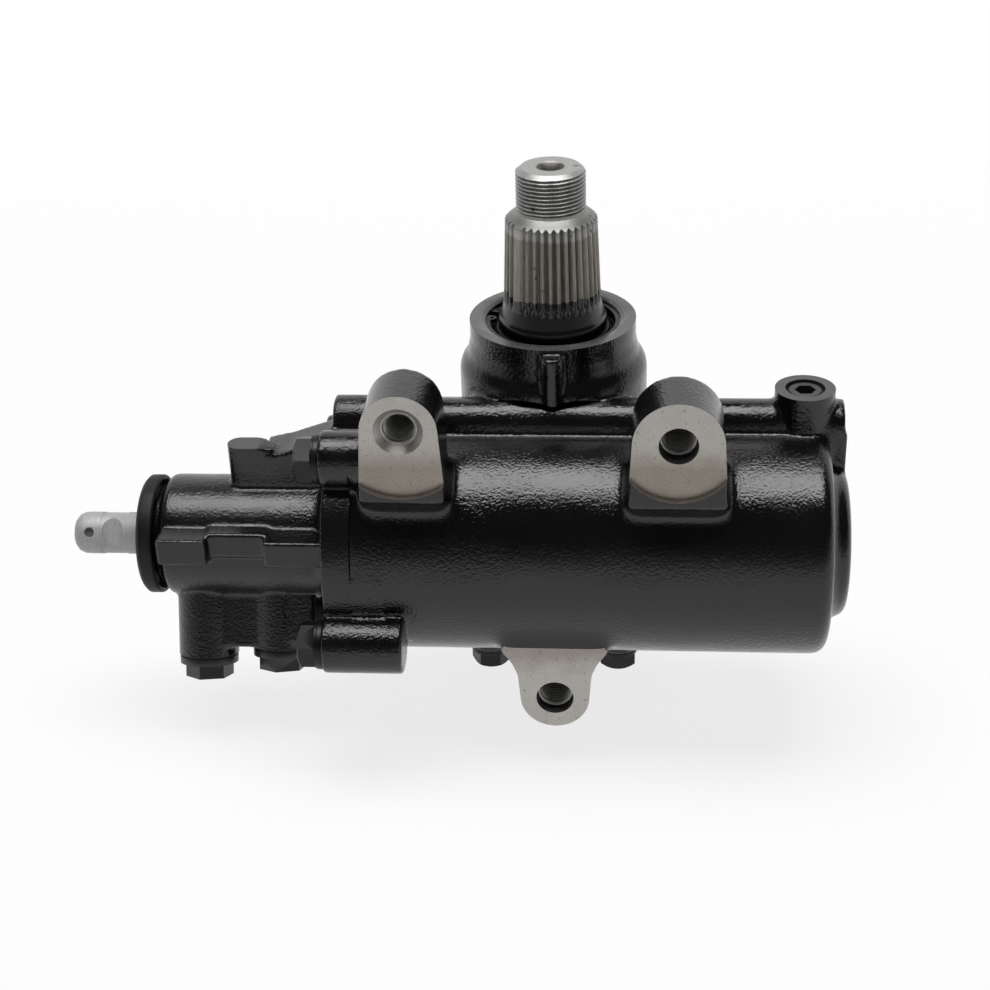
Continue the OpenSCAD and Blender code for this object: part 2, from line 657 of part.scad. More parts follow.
// Round bar along X whose surface carries the helical groove, from -half to half
module grooved_bar(half, inner) {
    rings = round(2 * half / screw_lead * groove_steps);
    points = [for (k = [0:rings], i = [0:groove_sides - 1]) let (x = -half + 2 * half * k / rings,
        a = 360 * i / groove_sides, d = from_groove(x, a), r = inner ? worm_surface(d) : nut_surface(d))
        [x, r * sin(a), -r * cos(a)]];
    walls = [for (k = [0:rings - 1], i = [0:groove_sides - 1])
        let (j = (i + 1) % groove_sides, b = k * groove_sides, c = b + groove_sides)
        each [[b + i, c + i, b + j], [b + j, c + i, c + j]]];
    polyhedron(points, concat(
        [[for (i = [0:groove_sides - 1]) i]], walls,
        [[for (i = [groove_sides - 1:-1:0]) rings * groove_sides + i]]));
}

nut_turns = 3.5;
nut_half = nut_turns * screw_lead / 2;
worm_half = nut_half + piston_travel + 4;
nut_bore_r = worm_land_r + 1.2;
ring_x0 = piston_right - 12;
guide_w = 9;
guide_h = 9;
guide_half = nut_half + 4.5;
guide_low = ball_track_r + ball_r + 3;
guide_mid_z = guide_low + guide_h / 2;
train_turns = 3;
train_half = train_turns * screw_lead / 2;
rack_cut_len = chamber_r + piston_travel - piston_left + 1;

module rack_piston() color([0.45, 0.45, 0.46]) gear_frame() difference() {
    union() {
        difference() {
            revolve_x([[0, piston_left], [bore_r - 1.4, piston_left], [bore_r - 0.15, piston_left + 1.2],
                       [bore_r - 0.15, piston_right - 1.5], [bore_r - 1.6, piston_right], [0, piston_right]]);
            translate([piston_left - 1, rack_root_y, -bore_r - 1])
                cube([rack_cut_len, bore_r, 2 * bore_r + 2]);
        }
        translate([0, 0, -sector_half_h]) linear_extrude(2 * sector_half_h) rack_outline();
    }
    bar_x(piston_left - 1, worm_half + piston_travel + 3, nut_bore_r);
    grooved_bar(nut_half, false);
    ring_x(ring_x0, ring_x0 + 4, bore_r + 1, bore_r - 3.4);
    translate([-guide_half, -guide_w / 2, guide_low]) cube([2 * guide_half, guide_w, bore_r]);
    for (s = [-1, 1])
        translate([s * train_half, 0, ball_track_r]) cylinder(h = ball_track_r, r = groove_r);
}

module piston_ring() color([0.12, 0.12, 0.12]) gear_frame()
    ring_x(ring_x0 + 0.1, ring_x0 + 3.9, bore_r - run_gap, bore_r - 3.3);

// Return channel over the nut: a bar bored along X with a leg down to each end of the ball train
module ball_return_guide() color([0.65, 0.63, 0.6]) gear_frame() difference() {
    translate([-guide_half + 0.1, -guide_w / 2 + 0.1, guide_low])
        cube([2 * guide_half - 0.2, guide_w - 0.2, guide_h]);
    translate([0, 0, guide_mid_z]) bar_x(-train_half - groove_r, train_half + groove_r, groove_r);
    for (s = [-1, 1])
        translate([s * train_half, 0, guide_low - 1]) cylinder(h = guide_h / 2 + 1, r = groove_r);
}

module guide_clamp() color([0.5, 0.5, 0.5]) gear_frame()
    translate([-9, -guide_w / 2 + 0.1, guide_low + guide_h]) cube([18, guide_w - 0.2, 2]);

// Balls along the working turns of the helix, with a few more in the return guide
module recirculating_balls() color([0.75, 0.75, 0.75]) gear_frame() {
    per_turn = floor(2 * PI * ball_track_r / (2 * ball_r + 0.25));
    for (i = [0:train_turns * per_turn]) let (t = i / per_turn - train_turns / 2)
        translate([t * screw_lead, 0, 0]) rotate([360 * t, 0, 0])
            translate([0, 0, -ball_track_r]) sphere(ball_r);
    for (i = [-2:2]) translate([i * (2 * ball_r + 0.2), 0, guide_mid_z]) sphere(ball_r);
}

// Worm with its helical ball track, bearing race and the head that drives the valve sleeve
module worm_shaft() color([0.55, 0.55, 0.56]) gear_frame() difference() {
    union() {
        grooved_bar(worm_half, true);
        bar_x(flange_face, worm_half + 1.5, worm_core_r);
        bar_x(flange_face, valve_joint + 5, worm_race_r);
        bar_x(worm_head_left, flange_face + 0.5, worm_head_r);
    }
    bearing_groove();
    bar_x(worm_head_left - 1, valve_joint + 30, worm_bore_r);
    bar_x(worm_head_left - 1, worm_nose + 2, spool_r - 3.5);
    translate([worm_pin_x, 0, -20]) cylinder(h = 40, r = pin_r + press_gap);
    translate([worm_head_left - 1, sleeve_pin_y, 0]) bar_x(0, 6, sleeve_pin_r + press_gap);
}

// Ring of balls between the worm's race and the bearing ring
module bearing_groove() translate([bearing_mid, 0, 0]) along_x()
    rotate_extrude() translate([bearing_ball_ring, 0]) circle(bearing_ball_r + 0.2);

// Ball bearing of the worm: an outer ring with a groove, and its balls
module worm_bearing() color([0.7, 0.7, 0.7]) gear_frame() {
    difference() {
        ring_x(bearing_mid - bearing_half, bearing_mid + bearing_half,
               worm_bearing_r - press_gap, bearing_ball_ring + 2);
        bearing_groove();
    }
    for (i = [0:bearing_balls - 1]) rotate([360 / bearing_balls * i, 0, 0])
        translate([bearing_mid, 0, bearing_ball_ring]) sphere(bearing_ball_r);
}

module bearing_retainer() color([0.4, 0.4, 0.4]) gear_frame()
    ring_x(bearing_mid + bearing_half + 0.1, bearing_mid + retainer_reach,
           worm_bearing_r - press_gap, worm_race_r + 2);

// Valve sleeve with grooves for its rings and rows of oil holes between them
ring_step = 10;
ring_groove_w = 2.4;
ring_groove_depth = 2.4;
function ring_x_at(i) = sleeve_left + 4 + ring_step * i;

module valve_sleeve() color([0.6, 0.6, 0.6]) gear_frame() difference() {
    bar_x(sleeve_left, sleeve_right, valve_bore_r - 0.2);
    bar_x(sleeve_left - 1, sleeve_right + 1, spool_r + run_gap);
    for (i = [0:3])
        ring_x(ring_x_at(i), ring_x_at(i) + ring_groove_w,
               valve_bore_r + 1, valve_bore_r - ring_groove_depth);
    for (i = [0:2], a = [0:90:270]) rotate([a + 30 * i, 0, 0])
        translate([ring_x_at(i) + 6.2, 0, ring_step]) cylinder(h = 20, r = 2);
    translate([sleeve_right - 4, sleeve_pin_y, 0]) bar_x(0, 6, sleeve_pin_r + press_gap);
}

module sleeve_rings() color([0.15, 0.15, 0.15]) gear_frame() for (i = [0:3])
    ring_x(ring_x_at(i) + 0.1, ring_x_at(i) + ring_groove_w - 0.1,
           valve_bore_r - run_gap, valve_bore_r - ring_groove_depth + 0.1);

module sleeve_pin() color([0.6, 0.6, 0.6]) gear_frame() 
    translate([sleeve_right - 3.8, sleeve_pin_y, 0]) bar_x(0, 8.5, sleeve_pin_r);

// Input shaft: chamfered end with the clamp-bolt notch, seal land and the slotted spool of the valve
clamp_notch_x = input_tip + 18;
clamp_notch_r = 5.9;
clamp_relief = 0.25;
clamp_relief_half = 5.6;
slot_depth = 1.2;

module input_pin_hole() translate([input_pin_x, 20, 0]) along_minus_y()
    cylinder(h = 40, r = pin_r + press_gap);

module input_shaft() color([0.75, 0.75, 0.74]) gear_frame() difference() {
    revolve_x([[0, input_tip], [input_r - 4, input_tip], [input_r - 2.2, input_tip + 1.6],
               [input_r - 0.9, input_tip + 3.8], [input_r, input_tip + 6.5],
               [input_r, clamp_notch_x - clamp_relief_half],
               [input_r - clamp_relief, clamp_notch_x - clamp_relief_half],
               [input_r - clamp_relief, clamp_notch_x + clamp_relief_half],
               [input_r, clamp_notch_x + clamp_relief_half],
               [input_r, dust_x - 0.7], [land_r, dust_x - 0.5], [land_r, sleeve_left - 2],
               [spool_r, sleeve_left - 1], [spool_r, sleeve_right - 1],
               [spool_r - 4, sleeve_right - 1], [spool_r - 4, worm_nose], [0, worm_nose]]);
    bar_x(input_tip + 12, worm_nose + 1, bar_r + 0.4);
    bar_x(input_tip - 1, input_tip + 13, bar_r + press_gap);
    translate([clamp_notch_x, -input_r - 3.1, -20]) cylinder(h = 40, r = clamp_notch_r);
    input_pin_hole();
    for (i = [0:5]) rotate([60 * i, 0, 0]) translate([sleeve_left + 5, -2, spool_r - slot_depth])
        cube([sleeve_right - sleeve_left - 12, 4, 3]);
}

module torsion_bar() color([0.5, 0.5, 0.52]) gear_frame() difference() {
    union() {
        bar_x(input_tip + 1, valve_joint + 29, bar_r - 1);
        bar_x(input_tip + 1, input_tip + 12.5, bar_r);
        bar_x(valve_joint + 5, valve_joint + 29, bar_r);
    }
    input_pin_hole();
    translate([worm_pin_x, 0, -20]) cylinder(h = 40, r = pin_r + press_gap);
}

module input_pin() color([0.4, 0.4, 0.4]) gear_frame()
    translate([input_pin_x, input_r - 1.5, 0]) along_minus_y() cylinder(h = 2 * input_r - 3, r = pin_r);

module worm_pin() color([0.4, 0.4, 0.4]) gear_frame()
    translate([worm_pin_x, 0, -worm_core_r + 0.5]) cylinder(h = 2 * worm_core_r - 1, r = pin_r);

module input_bearing() color([0.6, 0.6, 0.6]) gear_frame()
    ring_x(neck_end + 10, sleeve_left - 4, land_r + input_bearing_wall - press_gap, land_r + run_gap);

module input_oil_seal() color([0.1, 0.08, 0.07]) gear_frame() difference() {
    ring_x(neck_end + 0.6, neck_end + 8.8, land_r + 9 - press_gap, land_r + run_gap);
    ring_x(neck_end + 3, neck_end + 10, land_r + 7.5, land_r + 1.5);
}

module input_retaining_ring() color([0.3, 0.3, 0.3]) gear_frame() difference() {
    ring_x(neck_end - 1.2, neck_end + 0.2, land_r + 9.8, land_r + 6.6);
    translate([neck_end - 3, -2, -land_r - 12]) cube([6, 4, 8]);
}

// Dust cover: a cup on the input shaft whose rim reaches over the neck's lip
module dust_cover() color([0.05, 0.05, 0.05]) gear_frame() revolve_x([
    [land_r + press_gap, dust_x], [dust_r - 1.6, dust_x], [dust_r, dust_x + 1.6],
    [dust_r, dust_x + 6.4], [dust_r - 0.6, dust_x + 7], [dust_r - 2, dust_x + 7],
    [dust_r - 2, dust_x + 2.6], [land_r + 2.2, dust_x + 2.6], [land_r + 2.2, dust_x + 5],
    [land_r + press_gap, dust_x + 5]]);

gear_housing();
valve_housing();
side_cover();
side_cover_gasket();
side_cover_bolts();
lash_adjuster();
adjuster_locknut();
valve_housing_bolts();
valve_housing_washers();
valve_housing_oring();
gallery_plug();
pressure_port_plug();
return_port_plug();
port_washers();
sector_shaft();
sector_upper_bearing();
sector_lower_bearing();
output_oil_seal();
output_retaining_ring();
output_dust_seal();
rack_piston();
piston_ring();
ball_return_guide();
guide_clamp();
recirculating_balls();
worm_shaft();
worm_bearing();
bearing_retainer();
valve_sleeve();
sleeve_rings();
sleeve_pin();
input_shaft();
torsion_bar();
input_pin();
worm_pin();
input_bearing();
input_oil_seal();
input_retaining_ring();
dust_cover();
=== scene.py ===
import math

import bmesh
import bpy
from mathutils import Matrix, Vector


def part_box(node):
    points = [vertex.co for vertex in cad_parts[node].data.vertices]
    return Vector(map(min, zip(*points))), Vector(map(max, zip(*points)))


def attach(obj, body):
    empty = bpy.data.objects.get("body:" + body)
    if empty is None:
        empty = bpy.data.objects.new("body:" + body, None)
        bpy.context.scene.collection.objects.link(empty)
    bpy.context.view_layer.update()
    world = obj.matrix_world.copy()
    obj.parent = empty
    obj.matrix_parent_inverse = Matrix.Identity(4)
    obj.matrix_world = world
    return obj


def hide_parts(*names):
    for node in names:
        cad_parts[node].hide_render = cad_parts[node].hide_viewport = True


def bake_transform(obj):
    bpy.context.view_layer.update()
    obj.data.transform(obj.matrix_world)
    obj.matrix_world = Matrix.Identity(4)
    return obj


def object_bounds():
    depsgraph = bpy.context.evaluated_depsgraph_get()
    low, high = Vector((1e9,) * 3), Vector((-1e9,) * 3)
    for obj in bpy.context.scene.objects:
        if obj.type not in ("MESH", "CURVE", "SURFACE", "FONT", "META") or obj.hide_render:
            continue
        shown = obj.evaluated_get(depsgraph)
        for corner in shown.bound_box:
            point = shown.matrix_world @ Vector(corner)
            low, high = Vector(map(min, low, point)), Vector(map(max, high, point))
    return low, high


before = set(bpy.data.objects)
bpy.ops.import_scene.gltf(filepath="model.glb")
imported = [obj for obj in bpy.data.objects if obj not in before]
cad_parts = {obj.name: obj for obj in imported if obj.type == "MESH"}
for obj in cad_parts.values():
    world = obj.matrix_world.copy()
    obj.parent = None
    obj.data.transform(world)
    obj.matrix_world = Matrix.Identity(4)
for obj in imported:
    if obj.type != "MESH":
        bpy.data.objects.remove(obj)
cad_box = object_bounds()

# Sizes repeated from the part's source, in millimetres. The gear frame has its origin on the piston axis
# at the output axis's X, and lies at GEAR_ORIGIN in the row frame.
GEAR_ORIGIN = Vector((-3.3, 43.7, 55.0))
AXIS_GAP = 50.0
JOINT_X = -82.0
FLANGE_FACE_X = -94.5
NECK_END_X = -169.5
BARREL_R = 49.0
BORE_R = 38.0
RIM_R = 36.9
RIM_Z = 84.5
SEAL_BORE_R = 30.0
RAIL_Y = 17.0
RAIL_Z = 48.8
RAIL_R = 10.8
PLUG_X = 109.3
PLUG_TOP_Z = 65.8
PLUG_R = 8.52
LUG_R = 12.2
PAD_Y = -43.7
PAD_STOCK = 2.8
LEFT_PAD = (-58.3, 74.2, 16.0, 29.8)
RIGHT_PAD = (54.6, 68.7, 18.8, 24.7)
LOW_PAD = (3.3, -55.0, 15.0)
PAD_FLARE = 2.0
LOW_FACE_TOP = 26.5
LOW_STOCK = 0.8
LEFT_TAP = 26.0
RIGHT_TAP = 25.0
LOW_TAP = 24.0
MOUTH_R = 8.1
RIGHT_MOUTH = 7.0
LOW_MOUTH = 5.0
SLEEVE_R = 7.4
COVER_JOINT_Z = -56.0
PORT_LEAN = math.radians(21.0)
BOLT_CIRCLE = 56.5
BOLT_TURN = 65.0


def row(x, y, z):
    """A gear-frame point in millimetres as a row-frame point in metres."""
    return (Vector((x, y, z)) + GEAR_ORIGIN) * 0.001


def flange_bolts():
    """Places (y, z) of the flange bolts round the piston axis."""
    for i in range(4):
        a = math.radians(180.0 - BOLT_TURN + 90.0 * i)
        yield BOLT_CIRCLE * math.cos(a), BOLT_CIRCLE * math.sin(a)


# Small solids, added to a bmesh in gear-frame millimetres


def circles(bm, p0, p1, places, sides):
    """Circles of vertices square to the line between two points: places gives each one's end and radius."""
    ends = row(*p0), row(*p1)
    axis = (ends[1] - ends[0]).normalized()
    side = axis.orthogonal().normalized()
    other = axis.cross(side)
    return [[bm.verts.new(ends[end] + 0.001 * r * (math.cos(t) * side + math.sin(t) * other))
             for t in (2 * math.pi * i / sides for i in range(sides))] for end, r in places]


def join_loops(bm, near, far):
    """Faces between two loops of vertices."""
    count = len(near)
    for i in range(count):
        j = (i + 1) % count
        bm.faces.new((near[i], near[j], far[j], far[i]))


def close_loops(bm, near, far):
    """Closed solid between two loops of vertices."""
    join_loops(bm, near, far)
    bm.faces.new(list(reversed(near)))
    bm.faces.new(far)


def add_bar(bm, p0, p1, r0, r1=None, sides=96):
    """Closed round bar or cone between two points."""
    r1 = r0 if r1 is None else r1
    near, far = circles(bm, p0, p1, ((0, r0), (1, r1)), sides)
    close_loops(bm, near, far)


def add_ring(bm, p0, p1, inner, outer, sides=128):
    """Closed ring between two points."""
    loops = circles(bm, p0, p1, ((0, inner), (0, outer), (1, outer), (1, inner)), sides)
    for near, far in zip(loops, loops[1:] + loops[:1]):
        join_loops(bm, near, far)


def add_box(bm, low, high):
    """Closed box between two corners."""
    a, b = row(*low), row(*high)
    corners = [bm.verts.new((x, y, z)) for x in (a.x, b.x) for y in (a.y, b.y) for z in (a.z, b.z)]
    for quad in ((0, 1, 3, 2), (4, 6, 7, 5), (0, 4, 5, 1), (2, 3, 7, 6), (0, 2, 6, 4), (1, 5, 7, 3)):
        bm.faces.new([corners[i] for i in quad])


def add_prism(bm, outline, y0, y1):
    """Closed prism along Y with an outline of (x, z) points."""
    near = [bm.verts.new(row(x, y0, z)) for x, z in outline]
    far = [bm.verts.new(row(x, y1, z)) for x, z in outline]
    close_loops(bm, near, far)


def port_point(x, along, across=0.0):
    """Point at a distance along an oil port's axis from the valve axis, and across it towards the pads."""
    d = Vector((0.0, -math.sin(PORT_LEAN), -math.cos(PORT_LEAN)))
    n = Vector((0.0, -math.cos(PORT_LEAN), math.sin(PORT_LEAN)))
    p = Vector((x, 0.0, 0.0)) + along * d + across * n
    return p.x, p.y, p.z


def pad_outline(x, z, r, low):
    """Outline of a cast pad boss: a half-round top with flared sides down to a height."""
    arc = [(x + r * math.cos(a), z + r * math.sin(a)) for a in (math.pi * i / 40 for i in range(41))]
    return arc + [(x - r - PAD_FLARE, z - r - 14.0), (x - r - PAD_FLARE, low),
                  (x + r + PAD_FLARE, low), (x + r + PAD_FLARE, z - r - 14.0)]


def low_outline(x, z, r):
    """Outline of the lower pad: a half-round foot whose sides flare out towards the barrel."""
    arc = [(x + r * math.cos(a), z + r * math.sin(a)) for a in (-math.pi * i / 40 for i in range(41))]
    side = ((1.0, 12.0), (3.5, 18.0), (8.0, 24.0))
    return (arc + [(x - r - out, z + up) for out, up in side]
            + [(x + r + out, z + up) for out, up in reversed(side)])


# Materials


def new_material(name, base, rough, metallic=0.0, specular=0.5):
    """Material with a principled shader whose even values sit on its own sockets."""
    mat = bpy.data.materials.new(name)
    mat.use_nodes = True
    shader = mat.node_tree.nodes["Principled BSDF"]
    shader.inputs["Base Color"].default_value = (*base, 1.0)
    shader.inputs["Roughness"].default_value = rough
    shader.inputs["Metallic"].default_value = metallic
    shader.inputs["Specular IOR Level"].default_value = specular
    mat.diffuse_color = (*base, 1.0)
    return mat


class Nodes:
    """Short ways to add the nodes of one material."""

    def __init__(self, mat):
        self.tree = mat.node_tree
        self.shader = self.tree.nodes["Principled BSDF"]
        self.place = self.tree.nodes.new("ShaderNodeTexCoord").outputs["Object"]

    def link(self, source, target):
        self.tree.links.new(source, target)

    def noise(self, scale, detail=3.0, rough=0.55, stretch=None):
        node = self.tree.nodes.new("ShaderNodeTexNoise")
        node.inputs["Scale"].default_value = scale
        node.inputs["Detail"].default_value = detail
        node.inputs["Roughness"].default_value = rough
        place = self.place
        if stretch:
            mapping = self.tree.nodes.new("ShaderNodeMapping")
            mapping.inputs["Scale"].default_value = stretch
            self.link(place, mapping.inputs["Vector"])
            place = mapping.outputs["Vector"]
        self.link(place, node.inputs["Vector"])
        return node.outputs["Fac"]

    def ramp(self, value, stops):
        node = self.tree.nodes.new("ShaderNodeValToRGB")
        ramp = node.color_ramp
        while len(ramp.elements) < len(stops):
            ramp.elements.new(0.5)
        for element, (at, colour) in zip(ramp.elements, stops):
            element.position = at
            element.color = (*colour, 1.0)
        self.link(value, node.inputs["Fac"])
        return node.outputs["Color"]

    def scale(self, value, low, high, to_low, to_high):
        node = self.tree.nodes.new("ShaderNodeMapRange")
        node.inputs["From Min"].default_value = low
        node.inputs["From Max"].default_value = high
        node.inputs["To Min"].default_value = to_low
        node.inputs["To Max"].default_value = to_high
        self.link(value, node.inputs["Value"])
        return node.outputs["Result"]

    def math(self, kind, a, b):
        node = self.tree.nodes.new("ShaderNodeMath")
        node.operation = kind
        for socket, value in zip(node.inputs, (a, b)):
            if isinstance(value, (int, float)):
                socket.default_value = value
            else:
                self.link(value, socket)
        return node.outputs["Value"]

    def mix(self, factor, a, b):
        node = self.tree.nodes.new("ShaderNodeMix")
        node.data_type = "RGBA"
        self.link(factor, node.inputs["Factor"])
        for name, value in (("A", a), ("B", b)):
            socket = [s for s in node.inputs if s.name == name and s.type == "RGBA"][0]
            if isinstance(value, tuple):
                socket.default_value = (*value, 1.0)
            else:
                self.link(value, socket)
        return [s for s in node.outputs if s.type == "RGBA"][0]

    def axis(self, name):
        node = self.tree.nodes.new("ShaderNodeSeparateXYZ")
        self.link(self.place, node.inputs["Vector"])
        return node.outputs[name]

    def bump(self, height, strength, distance, under=None):
        node = self.tree.nodes.new("ShaderNodeBump")
        node.inputs["Strength"].default_value = strength
        node.inputs["Distance"].default_value = distance
        self.link(height, node.inputs["Height"])
        if under:
            self.link(under, node.inputs["Normal"])
        return node.outputs["Normal"]

    def attribute(self, name):
        node = self.tree.nodes.new("ShaderNodeAttribute")
        node.attribute_name = name
        return node.outputs["Fac"]


def cast_paint(name, gloss, dull):
    """Thick black paint over a rough casting: orange peel, patches of stipple and uneven gloss."""
    mat = new_material(name, (0.003, 0.003, 0.0033), (gloss + dull) / 2)
    n = Nodes(mat)
    n.link(n.ramp(n.noise(35.0, 3.0), [(0.35, (0.0022, 0.0022, 0.0025)), (0.7, (0.0045, 0.0045, 0.005))]),
           n.shader.inputs["Base Color"])
    n.link(n.scale(n.noise(60.0, 4.0), 0.3, 0.7, gloss, dull), n.shader.inputs["Roughness"])
    broad = n.bump(n.noise(150.0, 2.0), 0.18, 0.0006)
    patches = n.scale(n.noise(22.0, 2.0), 0.4, 0.6, 0.5, 1.0)
    fine = n.bump(n.math("MULTIPLY", n.noise(850.0, 2.0, 0.5), patches), 0.85, 0.0004, broad)
    n.link(fine, n.shader.inputs["Normal"])
    return mat


def satin_paint(name, low, high):
    """Thin satin black paint on machined faces."""
    mat = new_material(name, ((low + high) / 2,) * 3, 0.24)
    n = Nodes(mat)
    n.link(n.ramp(n.noise(90.0, 4.0), [(0.3, (low,) * 3), (0.75, (high,) * 3)]),
           n.shader.inputs["Base Color"])
    n.link(n.scale(n.noise(240.0, 3.0), 0.3, 0.7, 0.18, 0.3), n.shader.inputs["Roughness"])
    n.link(n.bump(n.noise(900.0, 2.0), 0.25, 0.0002), n.shader.inputs["Normal"])
    return mat


def pad_steel():
    """Bare milled face of a frame pad: grey steel above, stained below, fine mill marks and dark specks."""
    mat = new_material("pad_steel", (0.42, 0.39, 0.36), 0.42, metallic=0.75)
    n = Nodes(mat)
    grain = n.noise(1500.0, 3.0, 0.7)
    blot = n.noise(90.0, 4.0, 0.6)
    grey = n.ramp(grain, [(0.3, (0.36, 0.345, 0.32)), (0.7, (0.52, 0.5, 0.475))])
    brown = n.ramp(grain, [(0.3, (0.2, 0.175, 0.145)), (0.7, (0.34, 0.305, 0.265))])
    height = n.math("ADD", n.axis("Z"), n.math("MULTIPLY", blot, 0.016))
    zones = n.ramp(height, [(0.02, (0.0, 0.0, 0.0)), (0.03, (0.75, 0.75, 0.75)), (0.122, (1.0, 1.0, 1.0)),
                            (0.131, (0.1, 0.1, 0.1))])
    colour = n.mix(zones, grey, brown)
    specks = n.ramp(n.noise(420.0, 3.0), [(0.62, (0.0, 0.0, 0.0)), (0.7, (1.0, 1.0, 1.0))])
    colour = n.mix(n.math("MULTIPLY", specks, 0.45), colour, (0.09, 0.08, 0.07))
    n.link(colour, n.shader.inputs["Base Color"])
    n.link(n.scale(blot, 0.3, 0.7, 0.34, 0.5), n.shader.inputs["Roughness"])
    n.link(n.bump(grain, 0.2, 0.0001), n.shader.inputs["Normal"])
    return mat


def bore_steel():
    """Cut steel inside the tapped holes, with painted shade darkening the roots of the thread."""
    mat = new_material("bore_steel", (0.58, 0.57, 0.55), 0.36, metallic=0.4)
    n = Nodes(mat)
    cut = n.ramp(n.noise(300.0, 3.0), [(0.3, (0.48, 0.47, 0.45)), (0.7, (0.68, 0.67, 0.65))])
    # Painted shade: the groove attribute darkens the roots of the thread towards near black.
    n.link(n.mix(n.math("MULTIPLY", n.attribute("groove"), 0.92), cut, (0.02, 0.019, 0.018)),
           n.shader.inputs["Base Color"])
    return mat


def shaft_steel():
    """Output shaft: warm grey serrations, lighter above, black paint on the cone with a ragged edge, and
    painted shade in the grooves, thread roots and centre hole.
    """
    mat = new_material("shaft_steel", (0.3, 0.285, 0.26), 0.42, metallic=0.8)
    n = Nodes(mat)
    height = n.axis("Z")
    grain = n.noise(900.0, 3.0, 0.65, (1.0, 1.0, 0.12))
    worn = n.ramp(grain, [(0.3, (0.2, 0.185, 0.16)), (0.72, (0.31, 0.29, 0.26))])
    ground = n.ramp(grain, [(0.3, (0.33, 0.325, 0.315)), (0.72, (0.43, 0.425, 0.415))])
    uneven = n.math("ADD", height, n.math("MULTIPLY", n.noise(60.0, 3.0), 0.003))
    colour = n.mix(n.scale(uneven, 0.1822, 0.1832, 0.0, 1.0), worn, ground)
    shoulder = n.ramp(height, [(0.1850, (0.0, 0.0, 0.0)), (0.1856, (1.0, 1.0, 1.0)),
                               (0.1890, (1.0, 1.0, 1.0)), (0.1896, (0.0, 0.0, 0.0))])
    colour = n.mix(n.math("MULTIPLY", shoulder, 0.6), colour, (0.1, 0.1, 0.1))
    # Painted shade: the groove attribute darkens the serration grooves, the thread roots and the centre
    # hole.
    colour = n.mix(n.math("MULTIPLY", n.attribute("groove"), 0.6), colour, (0.035, 0.032, 0.03))
    ragged = n.math("ADD", height, n.math("MULTIPLY", n.noise(160.0, 4.0), 0.006))
    painted = n.scale(ragged, 0.1565, 0.1571, 1.0, 0.0)
    colour = n.mix(painted, colour, (0.004, 0.004, 0.0045))
    specks = n.ramp(n.noise(260.0, 2.0), [(0.7, (0.0, 0.0, 0.0)), (0.73, (1.0, 1.0, 1.0))])
    colour = n.mix(n.math("MULTIPLY", specks, 0.8), colour, (0.03, 0.028, 0.026))
    n.link(colour, n.shader.inputs["Base Color"])
    n.link(n.scale(painted, 0.0, 1.0, 0.8, 0.0), n.shader.inputs["Metallic"])
    n.link(n.scale(painted, 0.0, 1.0, 0.46, 0.2), n.shader.inputs["Roughness"])
    n.link(n.bump(grain, 0.2, 0.0001), n.shader.inputs["Normal"])
    return mat


def input_steel():
    """Ground bright steel of the input shaft."""
    mat = new_material("input_steel", (0.46, 0.46, 0.46), 0.6, metallic=0.3)
    n = Nodes(mat)
    grain = n.noise(700.0, 3.0, 0.6, (3.0, 0.4, 0.4))
    n.link(n.ramp(grain, [(0.3, (0.33, 0.33, 0.335)), (0.7, (0.45, 0.45, 0.455))]),
           n.shader.inputs["Base Color"])
    n.link(n.scale(n.noise(160.0, 4.0), 0.3, 0.7, 0.52, 0.66), n.shader.inputs["Roughness"])
    n.link(n.bump(grain, 0.1, 0.0001), n.shader.inputs["Normal"])
    return mat


def plain(name, low, high, rough, metallic=0.0, specular=0.5):
    """Even material with a little variation of colour and gloss."""
    mid = tuple((a + b) / 2 for a, b in zip(low, high))
    mat = new_material(name, mid, rough, metallic, specular)
    n = Nodes(mat)
    n.link(n.ramp(n.noise(200.0, 4.0), [(0.3, low), (0.7, high)]), n.shader.inputs["Base Color"])
    n.link(n.scale(n.noise(120.0, 3.0), 0.3, 0.7, rough * 0.85, rough * 1.2), n.shader.inputs["Roughness"])
    n.link(n.bump(n.noise(1000.0, 2.0), 0.15, 0.0001), n.shader.inputs["Normal"])
    return mat


CAST = cast_paint("cast_paint", 0.09, 0.2)
VALVE_CAST = cast_paint("valve_paint", 0.16, 0.3)
SATIN = satin_paint("satin_paint", 0.026, 0.044)
# A lighter copy of the satin paint for the top of the rim: painted light, brighter than the same paint on
# the other machined faces.
RIM_LIT = satin_paint("rim_paint_lit", 0.05, 0.085)
PAD = pad_steel()
BORE = bore_steel()
MOUTH = plain("mouth_steel", (0.03, 0.029, 0.028), (0.08, 0.078, 0.075), 0.4, 0.3)
SHAFT = shaft_steel()
INPUT = input_steel()
RUBBER = plain("black_rubber", (0.004, 0.004, 0.0045), (0.008, 0.008, 0.0085), 0.5, 0.0, 0.25)
PLUG = plain("plug_black", (0.012, 0.012, 0.013), (0.02, 0.02, 0.021), 0.36)
BOLT = plain("bolt_paint", (0.003, 0.003, 0.0032), (0.006, 0.006, 0.0065), 0.36, 0.0, 0.3)
DARK_STEEL = plain("dark_steel", (0.2, 0.195, 0.185), (0.32, 0.31, 0.3), 0.38, 0.85)
GEAR_STEEL = plain("gear_steel", (0.36, 0.36, 0.36), (0.48, 0.48, 0.475), 0.3, 0.9)
BALL_STEEL = plain("ball_steel", (0.58, 0.58, 0.58), (0.66, 0.66, 0.66), 0.12, 1.0)
SEAL = plain("seal_rubber", (0.016, 0.015, 0.014), (0.028, 0.026, 0.024), 0.5)
RING = plain("ring_plastic", (0.05, 0.042, 0.036), (0.075, 0.064, 0.055), 0.45)
GASKET = plain("gasket_fibre", (0.13, 0.1, 0.065), (0.19, 0.15, 0.1), 0.7)


# Mesh tools


